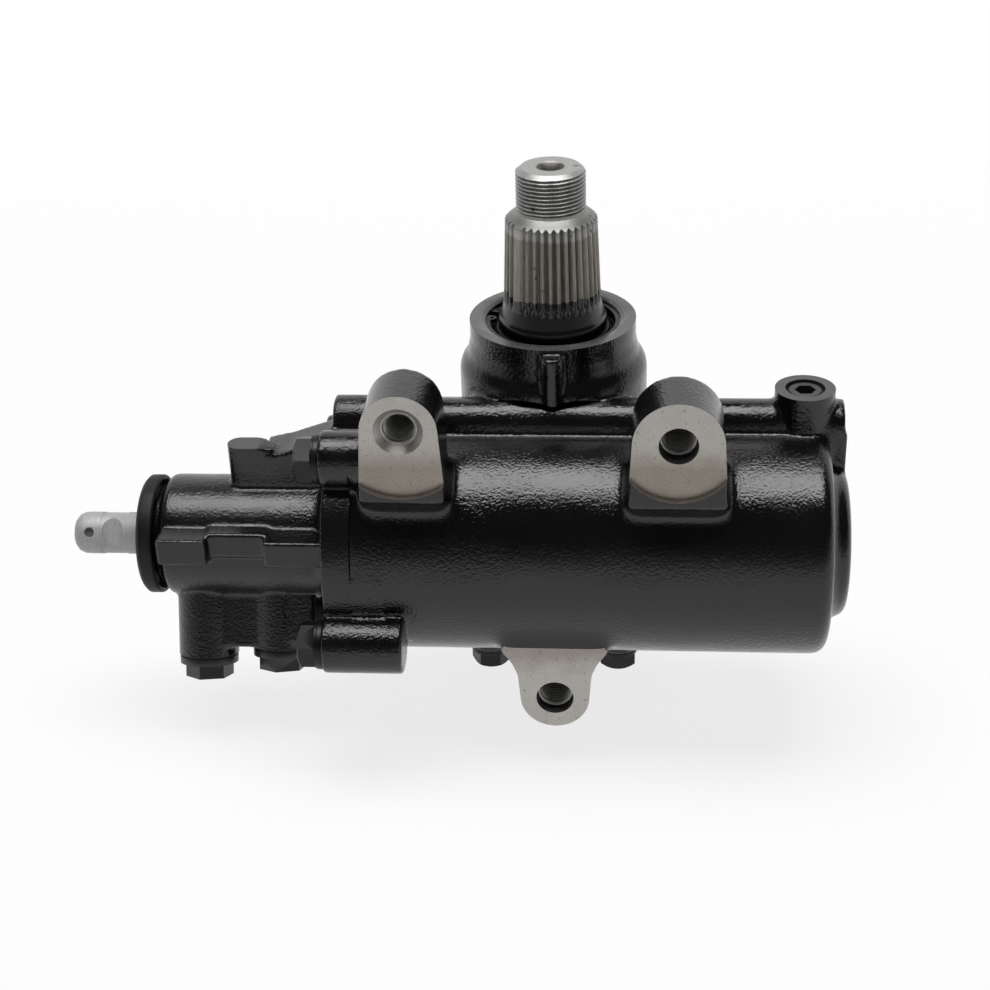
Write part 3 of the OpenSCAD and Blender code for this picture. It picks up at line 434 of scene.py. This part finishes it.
def link_object(name, mesh):
    obj = bpy.data.objects.new(name, mesh)
    bpy.context.scene.collection.objects.link(obj)
    return obj


def mesh_from(bm, name):
    bmesh.ops.recalc_face_normals(bm, faces=bm.faces)
    mesh = bpy.data.meshes.new(name)
    bm.to_mesh(mesh)
    bm.free()
    return mesh


def apply_modifiers(obj):
    """Replaces the object's mesh with what its modifiers give."""
    graph = bpy.context.evaluated_depsgraph_get()
    mesh = bpy.data.meshes.new_from_object(obj.evaluated_get(graph), depsgraph=graph)
    old = obj.data
    obj.modifiers.clear()
    obj.data = mesh
    bpy.data.meshes.remove(old)


def shade(obj, degrees):
    """Smooth shading, with edges over an angle left sharp."""
    for polygon in obj.data.polygons:
        polygon.use_smooth = True
    obj.data.set_sharp_from_angle(angle=math.radians(degrees))


def node_bmesh(node):
    """The node's solid with its split vertices joined."""
    bm = bmesh.new()
    bm.from_mesh(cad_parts[node].data)
    bmesh.ops.remove_doubles(bm, verts=bm.verts, dist=1e-6)
    return bm


FILLET_ROUNDS = 140


def cast_skin(name, node, paint, stock, cuts, voxel=0.001, rounds=10, soft=None):
    """Casting with soft edges: the node and its machining stock are fused, smoothed, and then machined.
    Where soft(x, y, z) holds, in gear-frame millimetres, the smoothing goes on into wide fillets."""
    bm = node_bmesh(node)
    stock(bm)
    obj = link_object(name, mesh_from(bm, name))
    remesh = obj.modifiers.new("fuse", "REMESH")
    remesh.mode = "VOXEL"
    remesh.voxel_size = voxel
    apply_modifiers(obj)
    if soft:
        group = obj.vertex_groups.new(name="soft")
        near = [v.index for v in obj.data.vertices if soft(*(v.co * 1000.0 - GEAR_ORIGIN))]
        group.add(near, 1.0, "REPLACE")
        fillet = obj.modifiers.new("fillet", "SMOOTH")
        fillet.factor = 0.5
        fillet.iterations = FILLET_ROUNDS
        fillet.vertex_group = group.name
    smooth = obj.modifiers.new("soften", "SMOOTH")
    smooth.factor = 0.5
    smooth.iterations = rounds
    thin = obj.modifiers.new("thin", "DECIMATE")
    thin.ratio = 0.4
    apply_modifiers(obj)
    obj.data.materials.clear()
    obj.data.materials.append(paint)
    for material, shape in cuts:
        cutter_bm = bmesh.new()
        shape(cutter_bm)
        cutter = link_object("cutter", mesh_from(cutter_bm, "cutter"))
        cutter.data.materials.append(material)
        cut = obj.modifiers.new("cut", "BOOLEAN")
        cut.operation = "DIFFERENCE"
        cut.solver = "MANIFOLD"
        cut.material_mode = "TRANSFER"
        cut.object = cutter
        apply_modifiers(obj)
        bpy.data.objects.remove(cutter)
    shade(obj, 42.0)
    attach(obj, "housing")
    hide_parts(node)
    return obj


# Gear housing


# The rail swells a little between the pads
SWELL_Y = RAIL_Y - 2.4
SWELL_Z = RAIL_Z + 0.4
SWELL_R = RAIL_R + 0.4
SWELL_RUN = 18.0

# Groove behind the rail: half its length, its height, and its sweep in degrees
GROOVE_HALF = 34.0
GROOVE_DEPTH = 3.0
GROOVE_START = 20.0
GROOVE_STEP = 4.0
GROOVE_POINTS = 17

# Machining stock before and behind a face, reach of a face's cutter, and radius of the tap stock
STOCK_BEFORE = 3.0
STOCK_BEHIND = 4.0
FACE_REACH = 20.0
PAD_REACH = 25.0
TAP_STOCK_R = 11.0


def flange_stock(bm, x0, x1):
    """Stock of the rail and the bolt lugs on both sides of the joint face."""
    add_bar(bm, (x0, RAIL_Y, RAIL_Z), (x1, RAIL_Y, RAIL_Z), RAIL_R + 0.6)
    for y, z in flange_bolts():
        add_bar(bm, (x0, y, z), (x1, y, z), LUG_R)


def gear_stock(bm):
    for x, z, r, face_r in (LEFT_PAD, RIGHT_PAD):
        add_prism(bm, pad_outline(x, z, r, z - face_r - 1.0), PAD_Y + 3.0, PAD_Y - PAD_STOCK)
        add_bar(bm, (x, PAD_Y - PAD_STOCK, z), (x, PAD_Y + LEFT_TAP + 0.5, z), TAP_STOCK_R)
    x, z, r = LOW_PAD
    for vert in bm.verts:
        point = vert.co * 1000.0 - GEAR_ORIGIN
        if abs(point.x - x) < 30.0 and z < point.z < 0.0 and abs(point.y - PAD_Y + PAD_STOCK) < 0.05:
            vert.co.y += (PAD_STOCK - LOW_STOCK) * 0.001
    add_bar(bm, (x, PAD_Y - PAD_STOCK, z), (x, PAD_Y + LOW_TAP + 0.5, z), TAP_STOCK_R)
    add_prism(bm, low_outline(x, z, r), PAD_Y + 4.0, PAD_Y - PAD_STOCK)
    add_bar(bm, (0, AXIS_GAP, RIM_Z - 4.0), (0, AXIS_GAP, RIM_Z + 3.0), RIM_R)
    add_bar(bm, (PLUG_X, RAIL_Y, PLUG_TOP_Z - 10.0), (PLUG_X, RAIL_Y, PLUG_TOP_Z + 3.0), 13.0)
    before, behind = JOINT_X - STOCK_BEFORE, JOINT_X + STOCK_BEHIND
    add_bar(bm, (before, 0, 0), (behind, 0, 0), BARREL_R + 1.0)
    flange_stock(bm, before, behind)
    left, right = (LEFT_PAD[0], RAIL_Y, RAIL_Z), (RIGHT_PAD[0], RAIL_Y, RAIL_Z)
    swell = [(x, SWELL_Y, SWELL_Z) for x in (LEFT_PAD[0] + SWELL_RUN, RIGHT_PAD[0] - SWELL_RUN)]
    add_bar(bm, left, swell[0], RAIL_R, SWELL_R)
    add_bar(bm, swell[0], swell[1], SWELL_R)
    add_bar(bm, swell[1], right, SWELL_R, RAIL_R)


def gear_fillets(x, y, z):
    """Whether a point lies where a pad runs out into the barrel."""
    r = math.hypot(y, z)
    if not BARREL_R - 5.0 < r < BARREL_R + 13.0:
        return False
    if abs(x - LOW_PAD[0]) < LOW_PAD[2] + 20.0 and r < BARREL_R + 5.0 and y < -25.0 and z < -8.0:
        return True
    by_pad = any(abs(x - pad[0]) < pad[2] + 16.0 for pad in (LEFT_PAD, RIGHT_PAD))
    return by_pad and -52.0 < y < -6.0 and z > 6.0


def round_face(pad):
    """Cutter of an upper pad's milled face."""
    def cut(bm):
        x, z, _, face_r = pad
        add_bar(bm, (x, PAD_Y, z), (x, PAD_Y - PAD_REACH, z), face_r)
    return cut


def low_face(bm):
    x, z, _ = LOW_PAD
    add_box(bm, (x - 40.0, PAD_Y - PAD_REACH, z - 30.0), (x + 40.0, PAD_Y, z + LOW_FACE_TOP))


def left_sink(bm):
    x, z, _, _ = LEFT_PAD
    add_bar(bm, (x, PAD_Y + 4.6, z), (x, PAD_Y - 0.2, z), 6.0, 10.49)


def holes(bm):
    for pad, depth in ((LEFT_PAD, LEFT_TAP), (RIGHT_PAD, RIGHT_TAP), (LOW_PAD, LOW_TAP)):
        add_bar(bm, (pad[0], PAD_Y - 1.0, pad[1]), (pad[0], PAD_Y + depth, pad[1]), SLEEVE_R)


def mouths(bm):
    for pad, depth in ((RIGHT_PAD, RIGHT_MOUTH), (LOW_PAD, LOW_MOUTH)):
        add_bar(bm, (pad[0], PAD_Y - 1.0, pad[1]), (pad[0], PAD_Y + depth, pad[1]), MOUTH_R)


def rim_face(bm):
    add_bar(bm, (0, AXIS_GAP, RIM_Z), (0, AXIS_GAP, RIM_Z + FACE_REACH), 60.0)


def rim_bore(bm):
    add_bar(bm, (0, AXIS_GAP, 62.0), (0, AXIS_GAP, RIM_Z + 5.0), SEAL_BORE_R)


def rim_chamfer(bm):
    add_bar(bm, (0, AXIS_GAP, RIM_Z - 1.0), (0, AXIS_GAP, RIM_Z + 1.0), SEAL_BORE_R, SEAL_BORE_R + 3.0)


def plug_face(bm):
    add_bar(bm, (PLUG_X, RAIL_Y, PLUG_TOP_Z), (PLUG_X, RAIL_Y, PLUG_TOP_Z + FACE_REACH), 22.0)


def plug_hole(bm):
    add_bar(bm, (PLUG_X, RAIL_Y, PLUG_TOP_Z - 9.0), (PLUG_X, RAIL_Y, PLUG_TOP_Z + 5.0), PLUG_R)


def joint_face(bm):
    add_bar(bm, (JOINT_X - FACE_REACH, 0, 0), (JOINT_X, 0, 0), 110.0)


def piston_bore(bm):
    add_bar(bm, (JOINT_X - 5.0, 0, 0), (112.0, 0, 0), BORE_R)


def rail_groove(bm):
    """Groove that parts the rail from the foot of the tower behind it."""
    angles = [math.radians(GROOVE_START + GROOVE_STEP * i) for i in range(GROOVE_POINTS)]
    inner = [(SWELL_Y - SWELL_R * math.cos(a), SWELL_Z + SWELL_R * math.sin(a)) for a in angles]
    outer_r = SWELL_R + GROOVE_DEPTH
    outer = [(SWELL_Y - outer_r * math.cos(a), SWELL_Z + outer_r * math.sin(a)) for a in reversed(angles)]
    near, far = ([bm.verts.new(row(x, y, z)) for y, z in inner + outer]
                 for x in (-GROOVE_HALF, GROOVE_HALF))
    close_loops(bm, near, far)


def cover_face(bm):
    add_bar(bm, (0, AXIS_GAP, COVER_JOINT_Z - 15.0), (0, AXIS_GAP, COVER_JOINT_Z), 61.0)


cast_skin("gear_housing_casting", "gear_housing", CAST, gear_stock, [
    (PAD, round_face(LEFT_PAD)), (PAD, round_face(RIGHT_PAD)), (PAD, low_face), (PAD, left_sink),
    (MOUTH, mouths), (BORE, holes),
    # The rim face takes the lighter copy of the satin paint, which is painted light.
    (RIM_LIT, rim_face), (SATIN, rim_bore), (SATIN, rim_chamfer), (SATIN, plug_face), (SATIN, plug_hole),
    (SATIN, joint_face), (SATIN, piston_bore), (SATIN, cover_face), (CAST, rail_groove)], soft=gear_fillets)


# Valve housing

PORTS = ((NECK_END_X + 15.3, 54.0, 13.4), (FLANGE_FACE_X - 26.1, 50.0, 13.4))
LUG_X = NECK_END_X + 35.0
LUG_TOP = 46.0
PORT_HOLE_R = 8.02


def valve_stock(bm):
    behind, before = JOINT_X - STOCK_BEHIND, JOINT_X + STOCK_BEFORE
    add_ring(bm, (behind, 0, 0), (before, 0, 0), BORE_R - 1.0, BARREL_R + 1.0)
    flange_stock(bm, behind, before)
    for x, length, r in PORTS:
        add_bar(bm, port_point(x, length - 14.0), port_point(x, length + 3.0), r)
    add_bar(bm, (LUG_X, 0, LUG_TOP - 4.0), (LUG_X, 0, LUG_TOP + 3.0), 5.5)
    add_box(bm, (LUG_X, -5.5, LUG_TOP - 4.0), (LUG_X + 8.0, 5.5, LUG_TOP + 3.0))
    add_box(bm, (LUG_X, -4.5, LUG_TOP - 14.0), (LUG_X + 15.0, 4.5, LUG_TOP - 0.6))


def valve_joint_face(bm):
    add_ring(bm, (JOINT_X, 0, 0), (JOINT_X + FACE_REACH, 0, 0), BORE_R - 0.1, 110.0)


def port_face(port, r):
    """Cutter of an oil port's face."""
    def cut(bm):
        x, length, _ = port
        add_bar(bm, port_point(x, length), port_point(x, length + 15.0), r)
    return cut


def port_holes(bm):
    for x, length, _ in PORTS:
        add_bar(bm, port_point(x, length - 13.0), port_point(x, length + 5.0), PORT_HOLE_R)


def lug_face(bm):
    add_box(bm, (LUG_X - 12.0, -14.0, LUG_TOP), (LUG_X + 10.4, 5.7, LUG_TOP + 12.0))


cast_skin("valve_housing_casting", "valve_housing", VALVE_CAST, valve_stock, [
    (SATIN, valve_joint_face), (SATIN, port_face(PORTS[0], 20.0)), (SATIN, port_face(PORTS[1], 19.0)),
    (SATIN, port_holes), (SATIN, lug_face)], voxel=0.0009, rounds=7)


# Side cover


def cover_stock(bm):
    add_bar(bm, (0, AXIS_GAP, -64.0), (0, AXIS_GAP, -60.0), 40.0)


cast_skin("side_cover_casting", "side_cover", CAST, cover_stock, [], rounds=6)


# Threads of the frame holes

THREAD_PITCH = 2.0
THREAD_MINOR_R = 5.9
THREAD_MAJOR_R = 7.0


def saw(turns):
    """Rounded triangular wave from 0 to 1 and back over one turn."""
    t = abs((turns % 1.0) * 2.0 - 1.0)
    return min(1.0, max(0.0, t * 1.3 - 0.15))


def thread_sleeve(name, x, z, y0, y1, lip):
    """Threaded wall of a frame hole: a sleeve whose inside carries the helix, with a coned mouth."""
    sides, step = 64, 0.25
    rows = int((y1 - y0) / step)
    bm = bmesh.new()
    # The groove layer holds how deep each point lies in the thread; the material darkens the roots by it as
    # painted shade.
    groove_shade = bm.verts.layers.float.new("groove")
    loops = []
    for k in range(rows + 1):
        y = y0 + k * step
        mouth = max(0.0, lip - k * step * lip / 1.5) if lip else max(0.0, 1.2 - k * step)
        loop = []
        for i in range(sides):
            a = 2 * math.pi * i / sides
            depth = saw((y - y0) / THREAD_PITCH - i / sides)
            r = THREAD_MINOR_R + (THREAD_MAJOR_R - THREAD_MINOR_R) * depth
            if r < THREAD_MINOR_R + mouth:
                r, depth = min(SLEEVE_R - 0.05, THREAD_MINOR_R + mouth), 0.0
            vert = bm.verts.new(row(x + r * math.cos(a), y, z + r * math.sin(a)))
            vert[groove_shade] = depth
            loop.append(vert)
        loops.append(loop)
    for y in (y1 - 0.02, y0):
        loops.append([bm.verts.new(row(x + SLEEVE_R * math.cos(a), y, z + SLEEVE_R * math.sin(a)))
                      for a in (2 * math.pi * i / sides for i in range(sides))])
    for k, near in enumerate(loops):
        join_loops(bm, near, loops[(k + 1) % len(loops)])
    obj = link_object(name, mesh_from(bm, name))
    obj.data.materials.append(BORE)
    shade(obj, 60.0)
    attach(obj, "housing")


thread_sleeve("left_frame_thread", LEFT_PAD[0], LEFT_PAD[1], PAD_Y + 3.15, PAD_Y + LEFT_TAP, 1.4)
thread_sleeve("right_frame_thread", RIGHT_PAD[0], RIGHT_PAD[1], PAD_Y + RIGHT_MOUTH, PAD_Y + RIGHT_TAP, 0.0)
thread_sleeve("lower_frame_thread", LOW_PAD[0], LOW_PAD[1], PAD_Y + LOW_MOUTH, PAD_Y + LOW_TAP, 0.0)


# Output shaft

TEETH = 36
BLIND = 22
GROOVE_TURN = 6.0
SHAFT_CUT_Z = 80.0
SERRATION_LOW = 95.0
SERRATION_TOP = 131.0
SHAFT_THREAD_LOW = 134.5
SHAFT_TOP = 153.6
SHAFT_PITCH = 1.72
SEAT_R = 24.0
SEAT_TOP = 85.5
SEAT_STEP = 0.8
SEAT_STEP_TOP = 86.7
CONE_FALL = 1.7
RUNOUT = 2.5
SERRATION_R = 21.35
SERRATION_TAPER = 1.4
SERRATION_DEPTH = 1.3
SHOULDER_R = 20.3
SHOULDER_TOP_R = 15.5
SHOULDER_START = SERRATION_TOP - 0.6
SHAFT_THREAD_R = 15.1
SHAFT_THREAD_DEPTH = 1.05

# Radius and depth down the centre hole in the shaft's end
CENTRE_HOLE = ((9.5, 0.0), (6.3, 0.0), (5.9, 0.4), (3.0, 3.0), (2.7, 7.0), (0.6, 8.0))


def serration_depth(angle):
    """Depth of the serration grooves at an angle, from 0 on a land to 1 at the bottom of a groove."""
    t = (math.degrees(angle) - GROOVE_TURN) / (360.0 / TEETH)
    nearest = round(t)
    if nearest % TEETH == BLIND:
        return 0.0
    return min(1.0, max(0.0, 1.12 - abs(t - nearest) / 0.33))


def shaft_radius(angle, z):
    """Radius of the output shaft's outer end, and how deep the point lies in a groove."""
    if z < SERRATION_LOW - RUNOUT:
        if z < SEAT_TOP:
            return SEAT_R, 0.0
        if z < SEAT_STEP_TOP:
            return SEAT_R - SEAT_STEP * (z - SEAT_TOP) / (SEAT_STEP_TOP - SEAT_TOP), 0.0
        share = (z - SEAT_STEP_TOP) / (SERRATION_LOW - RUNOUT - SEAT_STEP_TOP)
        return SEAT_R - SEAT_STEP - CONE_FALL * share, 0.0
    if z <= SHAFT_THREAD_LOW:
        land = SERRATION_R - SERRATION_TAPER * (z - SERRATION_LOW) / (SERRATION_TOP - SERRATION_LOW)
        runout = min(1.0, max(0.0, (z - SERRATION_LOW + RUNOUT) / 4.0))
        depth = serration_depth(angle) * runout
        r = land - SERRATION_DEPTH * depth
        if z > SHOULDER_START:
            share = (z - SHOULDER_START) / (SHAFT_THREAD_LOW - SHOULDER_START)
            cone = SHOULDER_R - (SHOULDER_R - SHOULDER_TOP_R) * share
            if cone < r:
                return cone, 0.0
        return r, depth
    turns = (z - SHAFT_THREAD_LOW) / SHAFT_PITCH - angle / (2 * math.pi)
    start = min(1.0, max(0.0, z - SHAFT_THREAD_LOW - 0.6))
    depth = saw(turns) * start
    r = SHAFT_THREAD_R - SHAFT_THREAD_DEPTH * depth
    chamfer = 15.2 - 1.2 * max(0.0, z - (SHAFT_TOP - 2.0))
    if chamfer < r:
        return chamfer, 0.0
    return r, 0.85 * depth


def shaft_heights():
    """Heights of the rings up the shaft: close together where its shape changes fast."""
    z = SHAFT_CUT_Z
    while z < SHAFT_TOP:
        yield z
        if z < 85.4:
            z += 2.75
        elif z < SERRATION_LOW + 2.0:
            z += 0.6
        elif z < SERRATION_TOP - 2.0:
            z += 2.2
        else:
            z += SHAFT_PITCH / 12
    yield SHAFT_TOP


def output_shaft():
    sides = TEETH * 11
    bm = node_bmesh("sector_shaft")
    cut = row(0, AXIS_GAP, SHAFT_CUT_Z + 1.0)
    geometry = list(bm.verts) + list(bm.edges) + list(bm.faces)
    bmesh.ops.bisect_plane(bm, geom=geometry, plane_co=cut, plane_no=(0, 0, 1), clear_outer=True)
    bmesh.ops.holes_fill(bm, edges=[e for e in bm.edges if len(e.link_faces) == 1])
    # The groove layer carries painted shade into the shaft's material: grooves, thread roots and the centre
    # hole.
    groove_shade = bm.verts.layers.float.new("groove")
    loops = []
    for z in shaft_heights():
        loop = []
        for i in range(sides):
            a = 2 * math.pi * i / sides
            r, depth = shaft_radius(a, z)
            vert = bm.verts.new(row(r * math.cos(a), AXIS_GAP + r * math.sin(a), z))
            vert[groove_shade] = depth
            loop.append(vert)
        loops.append(loop)
    for r, down in CENTRE_HOLE:
        loop = []
        for i in range(sides):
            a = 2 * math.pi * i / sides
            vert = bm.verts.new(row(r * math.cos(a), AXIS_GAP + r * math.sin(a), SHAFT_TOP - down))
            # The walls of the centre hole get a full groove value, which darkens them as painted shade.
            vert[groove_shade] = 1.2 if down else 0.0
            loop.append(vert)
        loops.append(loop)
    for near, far in zip(loops, loops[1:]):
        join_loops(bm, near, far)
    bm.faces.new(loops[-1])
    bm.faces.new(list(reversed(loops[0])))
    obj = link_object("output_shaft", mesh_from(bm, "output_shaft"))
    obj.data.materials.clear()
    obj.data.materials.append(SHAFT)
    shade(obj, 35.0)
    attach(obj, "sector")
    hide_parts("sector_shaft")


output_shaft()


# Nodes that keep their solids: material and a small edge break

NODE_LOOKS = {
    "valve_housing_bolts": (BOLT, 0.35), "valve_housing_washers": (BOLT, 0.25),
    "side_cover_bolts": (BOLT, 0.35), "gallery_plug": (PLUG, 0.25), "pressure_port_plug": (PLUG, 0.35),
    "return_port_plug": (PLUG, 0.35), "port_washers": (SEAL, 0.15), "dust_cover": (RUBBER, 0.3),
    "output_dust_seal": (RUBBER, 0.15), "output_retaining_ring": (BOLT, 0.1),
    "output_oil_seal": (SEAL, 0.0), "input_shaft": (INPUT, 0.15), "input_pin": (DARK_STEEL, 0.15),
    "torsion_bar": (DARK_STEEL, 0.1), "lash_adjuster": (DARK_STEEL, 0.2),
    "adjuster_locknut": (DARK_STEEL, 0.3), "side_cover_gasket": (GASKET, 0.0),
    "rack_piston": (GEAR_STEEL, 0.0), "piston_ring": (RING, 0.0), "ball_return_guide": (GEAR_STEEL, 0.0),
    "guide_clamp": (DARK_STEEL, 0.0), "recirculating_balls": (BALL_STEEL, 0.0),
    "worm_shaft": (GEAR_STEEL, 0.0), "worm_bearing": (BALL_STEEL, 0.0),
    "bearing_retainer": (DARK_STEEL, 0.0), "valve_sleeve": (GEAR_STEEL, 0.0), "sleeve_rings": (RING, 0.0),
    "sleeve_pin": (DARK_STEEL, 0.0), "worm_pin": (DARK_STEEL, 0.0), "input_bearing": (BALL_STEEL, 0.0),
    "input_oil_seal": (SEAL, 0.0), "input_retaining_ring": (DARK_STEEL, 0.0),
    "valve_housing_oring": (SEAL, 0.0), "sector_upper_bearing": (BALL_STEEL, 0.0),
    "sector_lower_bearing": (BALL_STEEL, 0.0),
}


def dress(obj, material, edge):
    """Gives an object its material and a small break on its sharp edges."""
    for place in obj.material_slots:
        place.link = "OBJECT"
        place.material = material
    if edge:
        weld = obj.modifiers.new("weld", "WELD")
        weld.merge_threshold = 1e-6
        bevel = obj.modifiers.new("edge", "BEVEL")
        bevel.width = edge * 0.001
        bevel.segments = 2
        bevel.limit_method = "ANGLE"
        bevel.angle_limit = math.radians(32.0)


for node, (material, edge) in NODE_LOOKS.items():
    dress(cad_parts[node], material, edge)


# Input shaft, turned on its axis as it stands in the photograph, with a blunter end

INPUT_TURN = math.radians(-30.0)
TIP_SWELL = ((0.0, 1.15), (1.6, 1.15), (3.8, 1.085), (6.5, 1.0))


def swell_at(dx):
    """Factor on the radius at a distance from the tip."""
    for (x0, f0), (x1, f1) in zip(TIP_SWELL, TIP_SWELL[1:]):
        if dx <= x1:
            return f0 + (f1 - f0) * (dx - x0) / (x1 - x0)
    return 1.0


def turned_input(name, node, tip):
    """Copy of a piece of the input shaft, turned about the valve axis and swollen near the tip."""
    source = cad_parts[node]
    obj = link_object(name, source.data.copy())
    axis = row(0, 0, 0)
    turn = Matrix.Rotation(INPUT_TURN, 3, "X")
    for vert in obj.data.vertices:
        arm = vert.co - axis
        arm.x = 0.0
        factor = swell_at((vert.co.x - tip) * 1000.0) if arm.length > 0.005 else 1.0
        vert.co = Vector((vert.co.x, axis.y, axis.z)) + turn @ arm * factor
    dress(obj, *NODE_LOOKS[node])
    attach(obj, "input")
    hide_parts(node)


shaft_tip = min(vert.co.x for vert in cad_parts["input_shaft"].data.vertices)
turned_input("input_shaft_end", "input_shaft", shaft_tip)
turned_input("input_cross_pin", "input_pin", shaft_tip)


# Torsion bar: one end stays with the worm, the other turns with the input shaft

BAR_RINGS = 24
BAR_WORM_END = 0.024
BAR_INPUT_END = 0.0115


def twisted_bar():
    """Copy of the torsion bar cut into rings, so that it can twist between the worm and the input shaft."""
    low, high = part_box("torsion_bar")
    start = high[0] - BAR_WORM_END
    end = low[0] + BAR_INPUT_END
    axis = row(0, 0, 0)
    bm = node_bmesh("torsion_bar")
    for i in range(BAR_RINGS + 1):
        x = start + (end - start) * i / BAR_RINGS
        bmesh.ops.bisect_plane(bm, geom=bm.verts[:] + bm.edges[:] + bm.faces[:],
                               plane_co=(x, 0.0, 0.0), plane_no=(1.0, 0.0, 0.0))
    for vert in bm.verts:
        share = min(max((vert.co.x - start) / (end - start), 0.0), 1.0)
        arm = vert.co - axis
        vert.co = axis + Matrix.Rotation(INPUT_TURN * share, 3, "X") @ arm
    obj = link_object("torsion_bar_twist", mesh_from(bm, "torsion_bar_twist"))
    obj.data.materials.append(DARK_STEEL)
    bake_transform(obj)
    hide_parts("torsion_bar")


twisted_bar()


# Floor, light and camera

low, high = (Vector(p) for p in cad_box)
FLOOR_Z = low.z - 0.0005
SWEEP_Y = 1.6
SWEEP_R = 0.6
WALL_TOP = 2.6
SWEEP_HALF = 15.0


def sweep_profile():
    """Side view (y, z) of the studio's white sweep: floor, round bend and wall."""
    yield -SWEEP_HALF, FLOOR_Z
    for i in range(17):
        a = math.pi / 2 * i / 16
        yield SWEEP_Y + SWEEP_R * math.sin(a), FLOOR_Z + SWEEP_R * (1 - math.cos(a))
    yield SWEEP_Y + SWEEP_R, WALL_TOP


def sweep_white():
    """White of the sweep: lit and shaded near the part, plain white to the eye and to mirrors behind it."""
    mat = new_material("sweep_white", (0.88, 0.88, 0.88), 0.9)
    n = Nodes(mat)
    n.link(n.ramp(n.noise(3.0), [(0.3, (0.87, 0.87, 0.87)), (0.7, (0.89, 0.89, 0.89))]),
           n.shader.inputs["Base Color"])
    path = n.tree.nodes.new("ShaderNodeLightPath")
    seen = n.math("MAXIMUM", path.outputs["Is Camera Ray"], path.outputs["Is Glossy Ray"])
    seen = n.math("MAXIMUM", seen, path.outputs["Is Transmission Ray"])
    behind = n.scale(n.axis("Y"), 0.2, 0.9, 0.8, 1.0)
    glow = n.tree.nodes.new("ShaderNodeEmission")
    blend = n.tree.nodes.new("ShaderNodeMixShader")
    n.link(n.math("MULTIPLY", seen, behind), blend.inputs["Fac"])
    n.link(n.shader.outputs["BSDF"], blend.inputs[1])
    n.link(glow.outputs["Emission"], blend.inputs[2])
    n.link(blend.outputs["Shader"], n.tree.nodes["Material Output"].inputs["Surface"])
    return mat


sweep_mesh = bpy.data.meshes.new("sweep")
profile = list(sweep_profile())
points = [(x, y, z) for x in (-SWEEP_HALF, SWEEP_HALF) for y, z in profile]
count = len(profile)
sweep_mesh.from_pydata(points, [], [(i, count + i, count + i + 1, i + 1) for i in range(count - 1)])
sweep_mesh.materials.append(sweep_white())
sweep = link_object("sweep", sweep_mesh)
for polygon in sweep.data.polygons:
    polygon.use_smooth = True

world = bpy.data.worlds.new("studio")
bpy.context.scene.world = world
world.use_nodes = True
tree = world.node_tree
direction = tree.nodes.new("ShaderNodeTexCoord")
split = tree.nodes.new("ShaderNodeSeparateXYZ")
fade = tree.nodes.new("ShaderNodeValToRGB")
fade.color_ramp.elements[0].position = 0.0
fade.color_ramp.elements[0].color = (0.45, 0.45, 0.45, 1.0)
fade.color_ramp.elements[1].position = 0.32
fade.color_ramp.elements[1].color = (0.05, 0.05, 0.05, 1.0)
tree.links.new(direction.outputs["Generated"], split.inputs["Vector"])
tree.links.new(split.outputs["Z"], fade.inputs["Fac"])
tree.links.new(fade.outputs["Color"], tree.nodes["Background"].inputs["Color"])


def softbox(name, at, aim, width, depth, power):
    """Rectangular area lamp turned to a point."""
    lamp = bpy.data.lights.new(name, "AREA")
    lamp.shape = "RECTANGLE"
    lamp.size = width
    lamp.size_y = depth
    lamp.energy = power
    obj = bpy.data.objects.new(name, lamp)
    bpy.context.scene.collection.objects.link(obj)
    obj.location = at
    obj.rotation_euler = (Vector(aim) - Vector(at)).to_track_quat("-Z", "Y").to_euler()


LAMP_HEIGHT = 2.05
LAMP_SIZE = (2.0, 1.1)
LAMP_WATTS = 48.0

centre = (low + high) / 2
softbox("softbox_top", (centre.x, centre.y, FLOOR_Z + LAMP_HEIGHT), centre, *LAMP_SIZE, LAMP_WATTS)

# Camera fitted to the photograph
YAW, PITCH, ROLL = (math.radians(a) for a in (5.26, 29.07, 1.99))
CAMERA_AT = (0.03573, -0.63917, 0.45757)
LENS = 65.28
forward = Vector((-math.sin(YAW) * math.cos(PITCH), math.cos(YAW) * math.cos(PITCH), -math.sin(PITCH)))
level = Vector((math.cos(YAW), math.sin(YAW), 0.0))
above = level.cross(forward)
right = math.cos(ROLL) * level - math.sin(ROLL) * above
up = math.sin(ROLL) * level + math.cos(ROLL) * above
camera_data = bpy.data.cameras.new("camera")
camera_data.sensor_width = 36.0
camera_data.lens = LENS
camera = bpy.data.objects.new("camera", camera_data)
bpy.context.scene.collection.objects.link(camera)
turn = Matrix((right, up, -forward)).transposed().to_4x4()
camera.matrix_world = Matrix.Translation(CAMERA_AT) @ turn
bpy.context.scene.camera = camera
bpy.context.scene.view_settings.view_transform = "Standard"
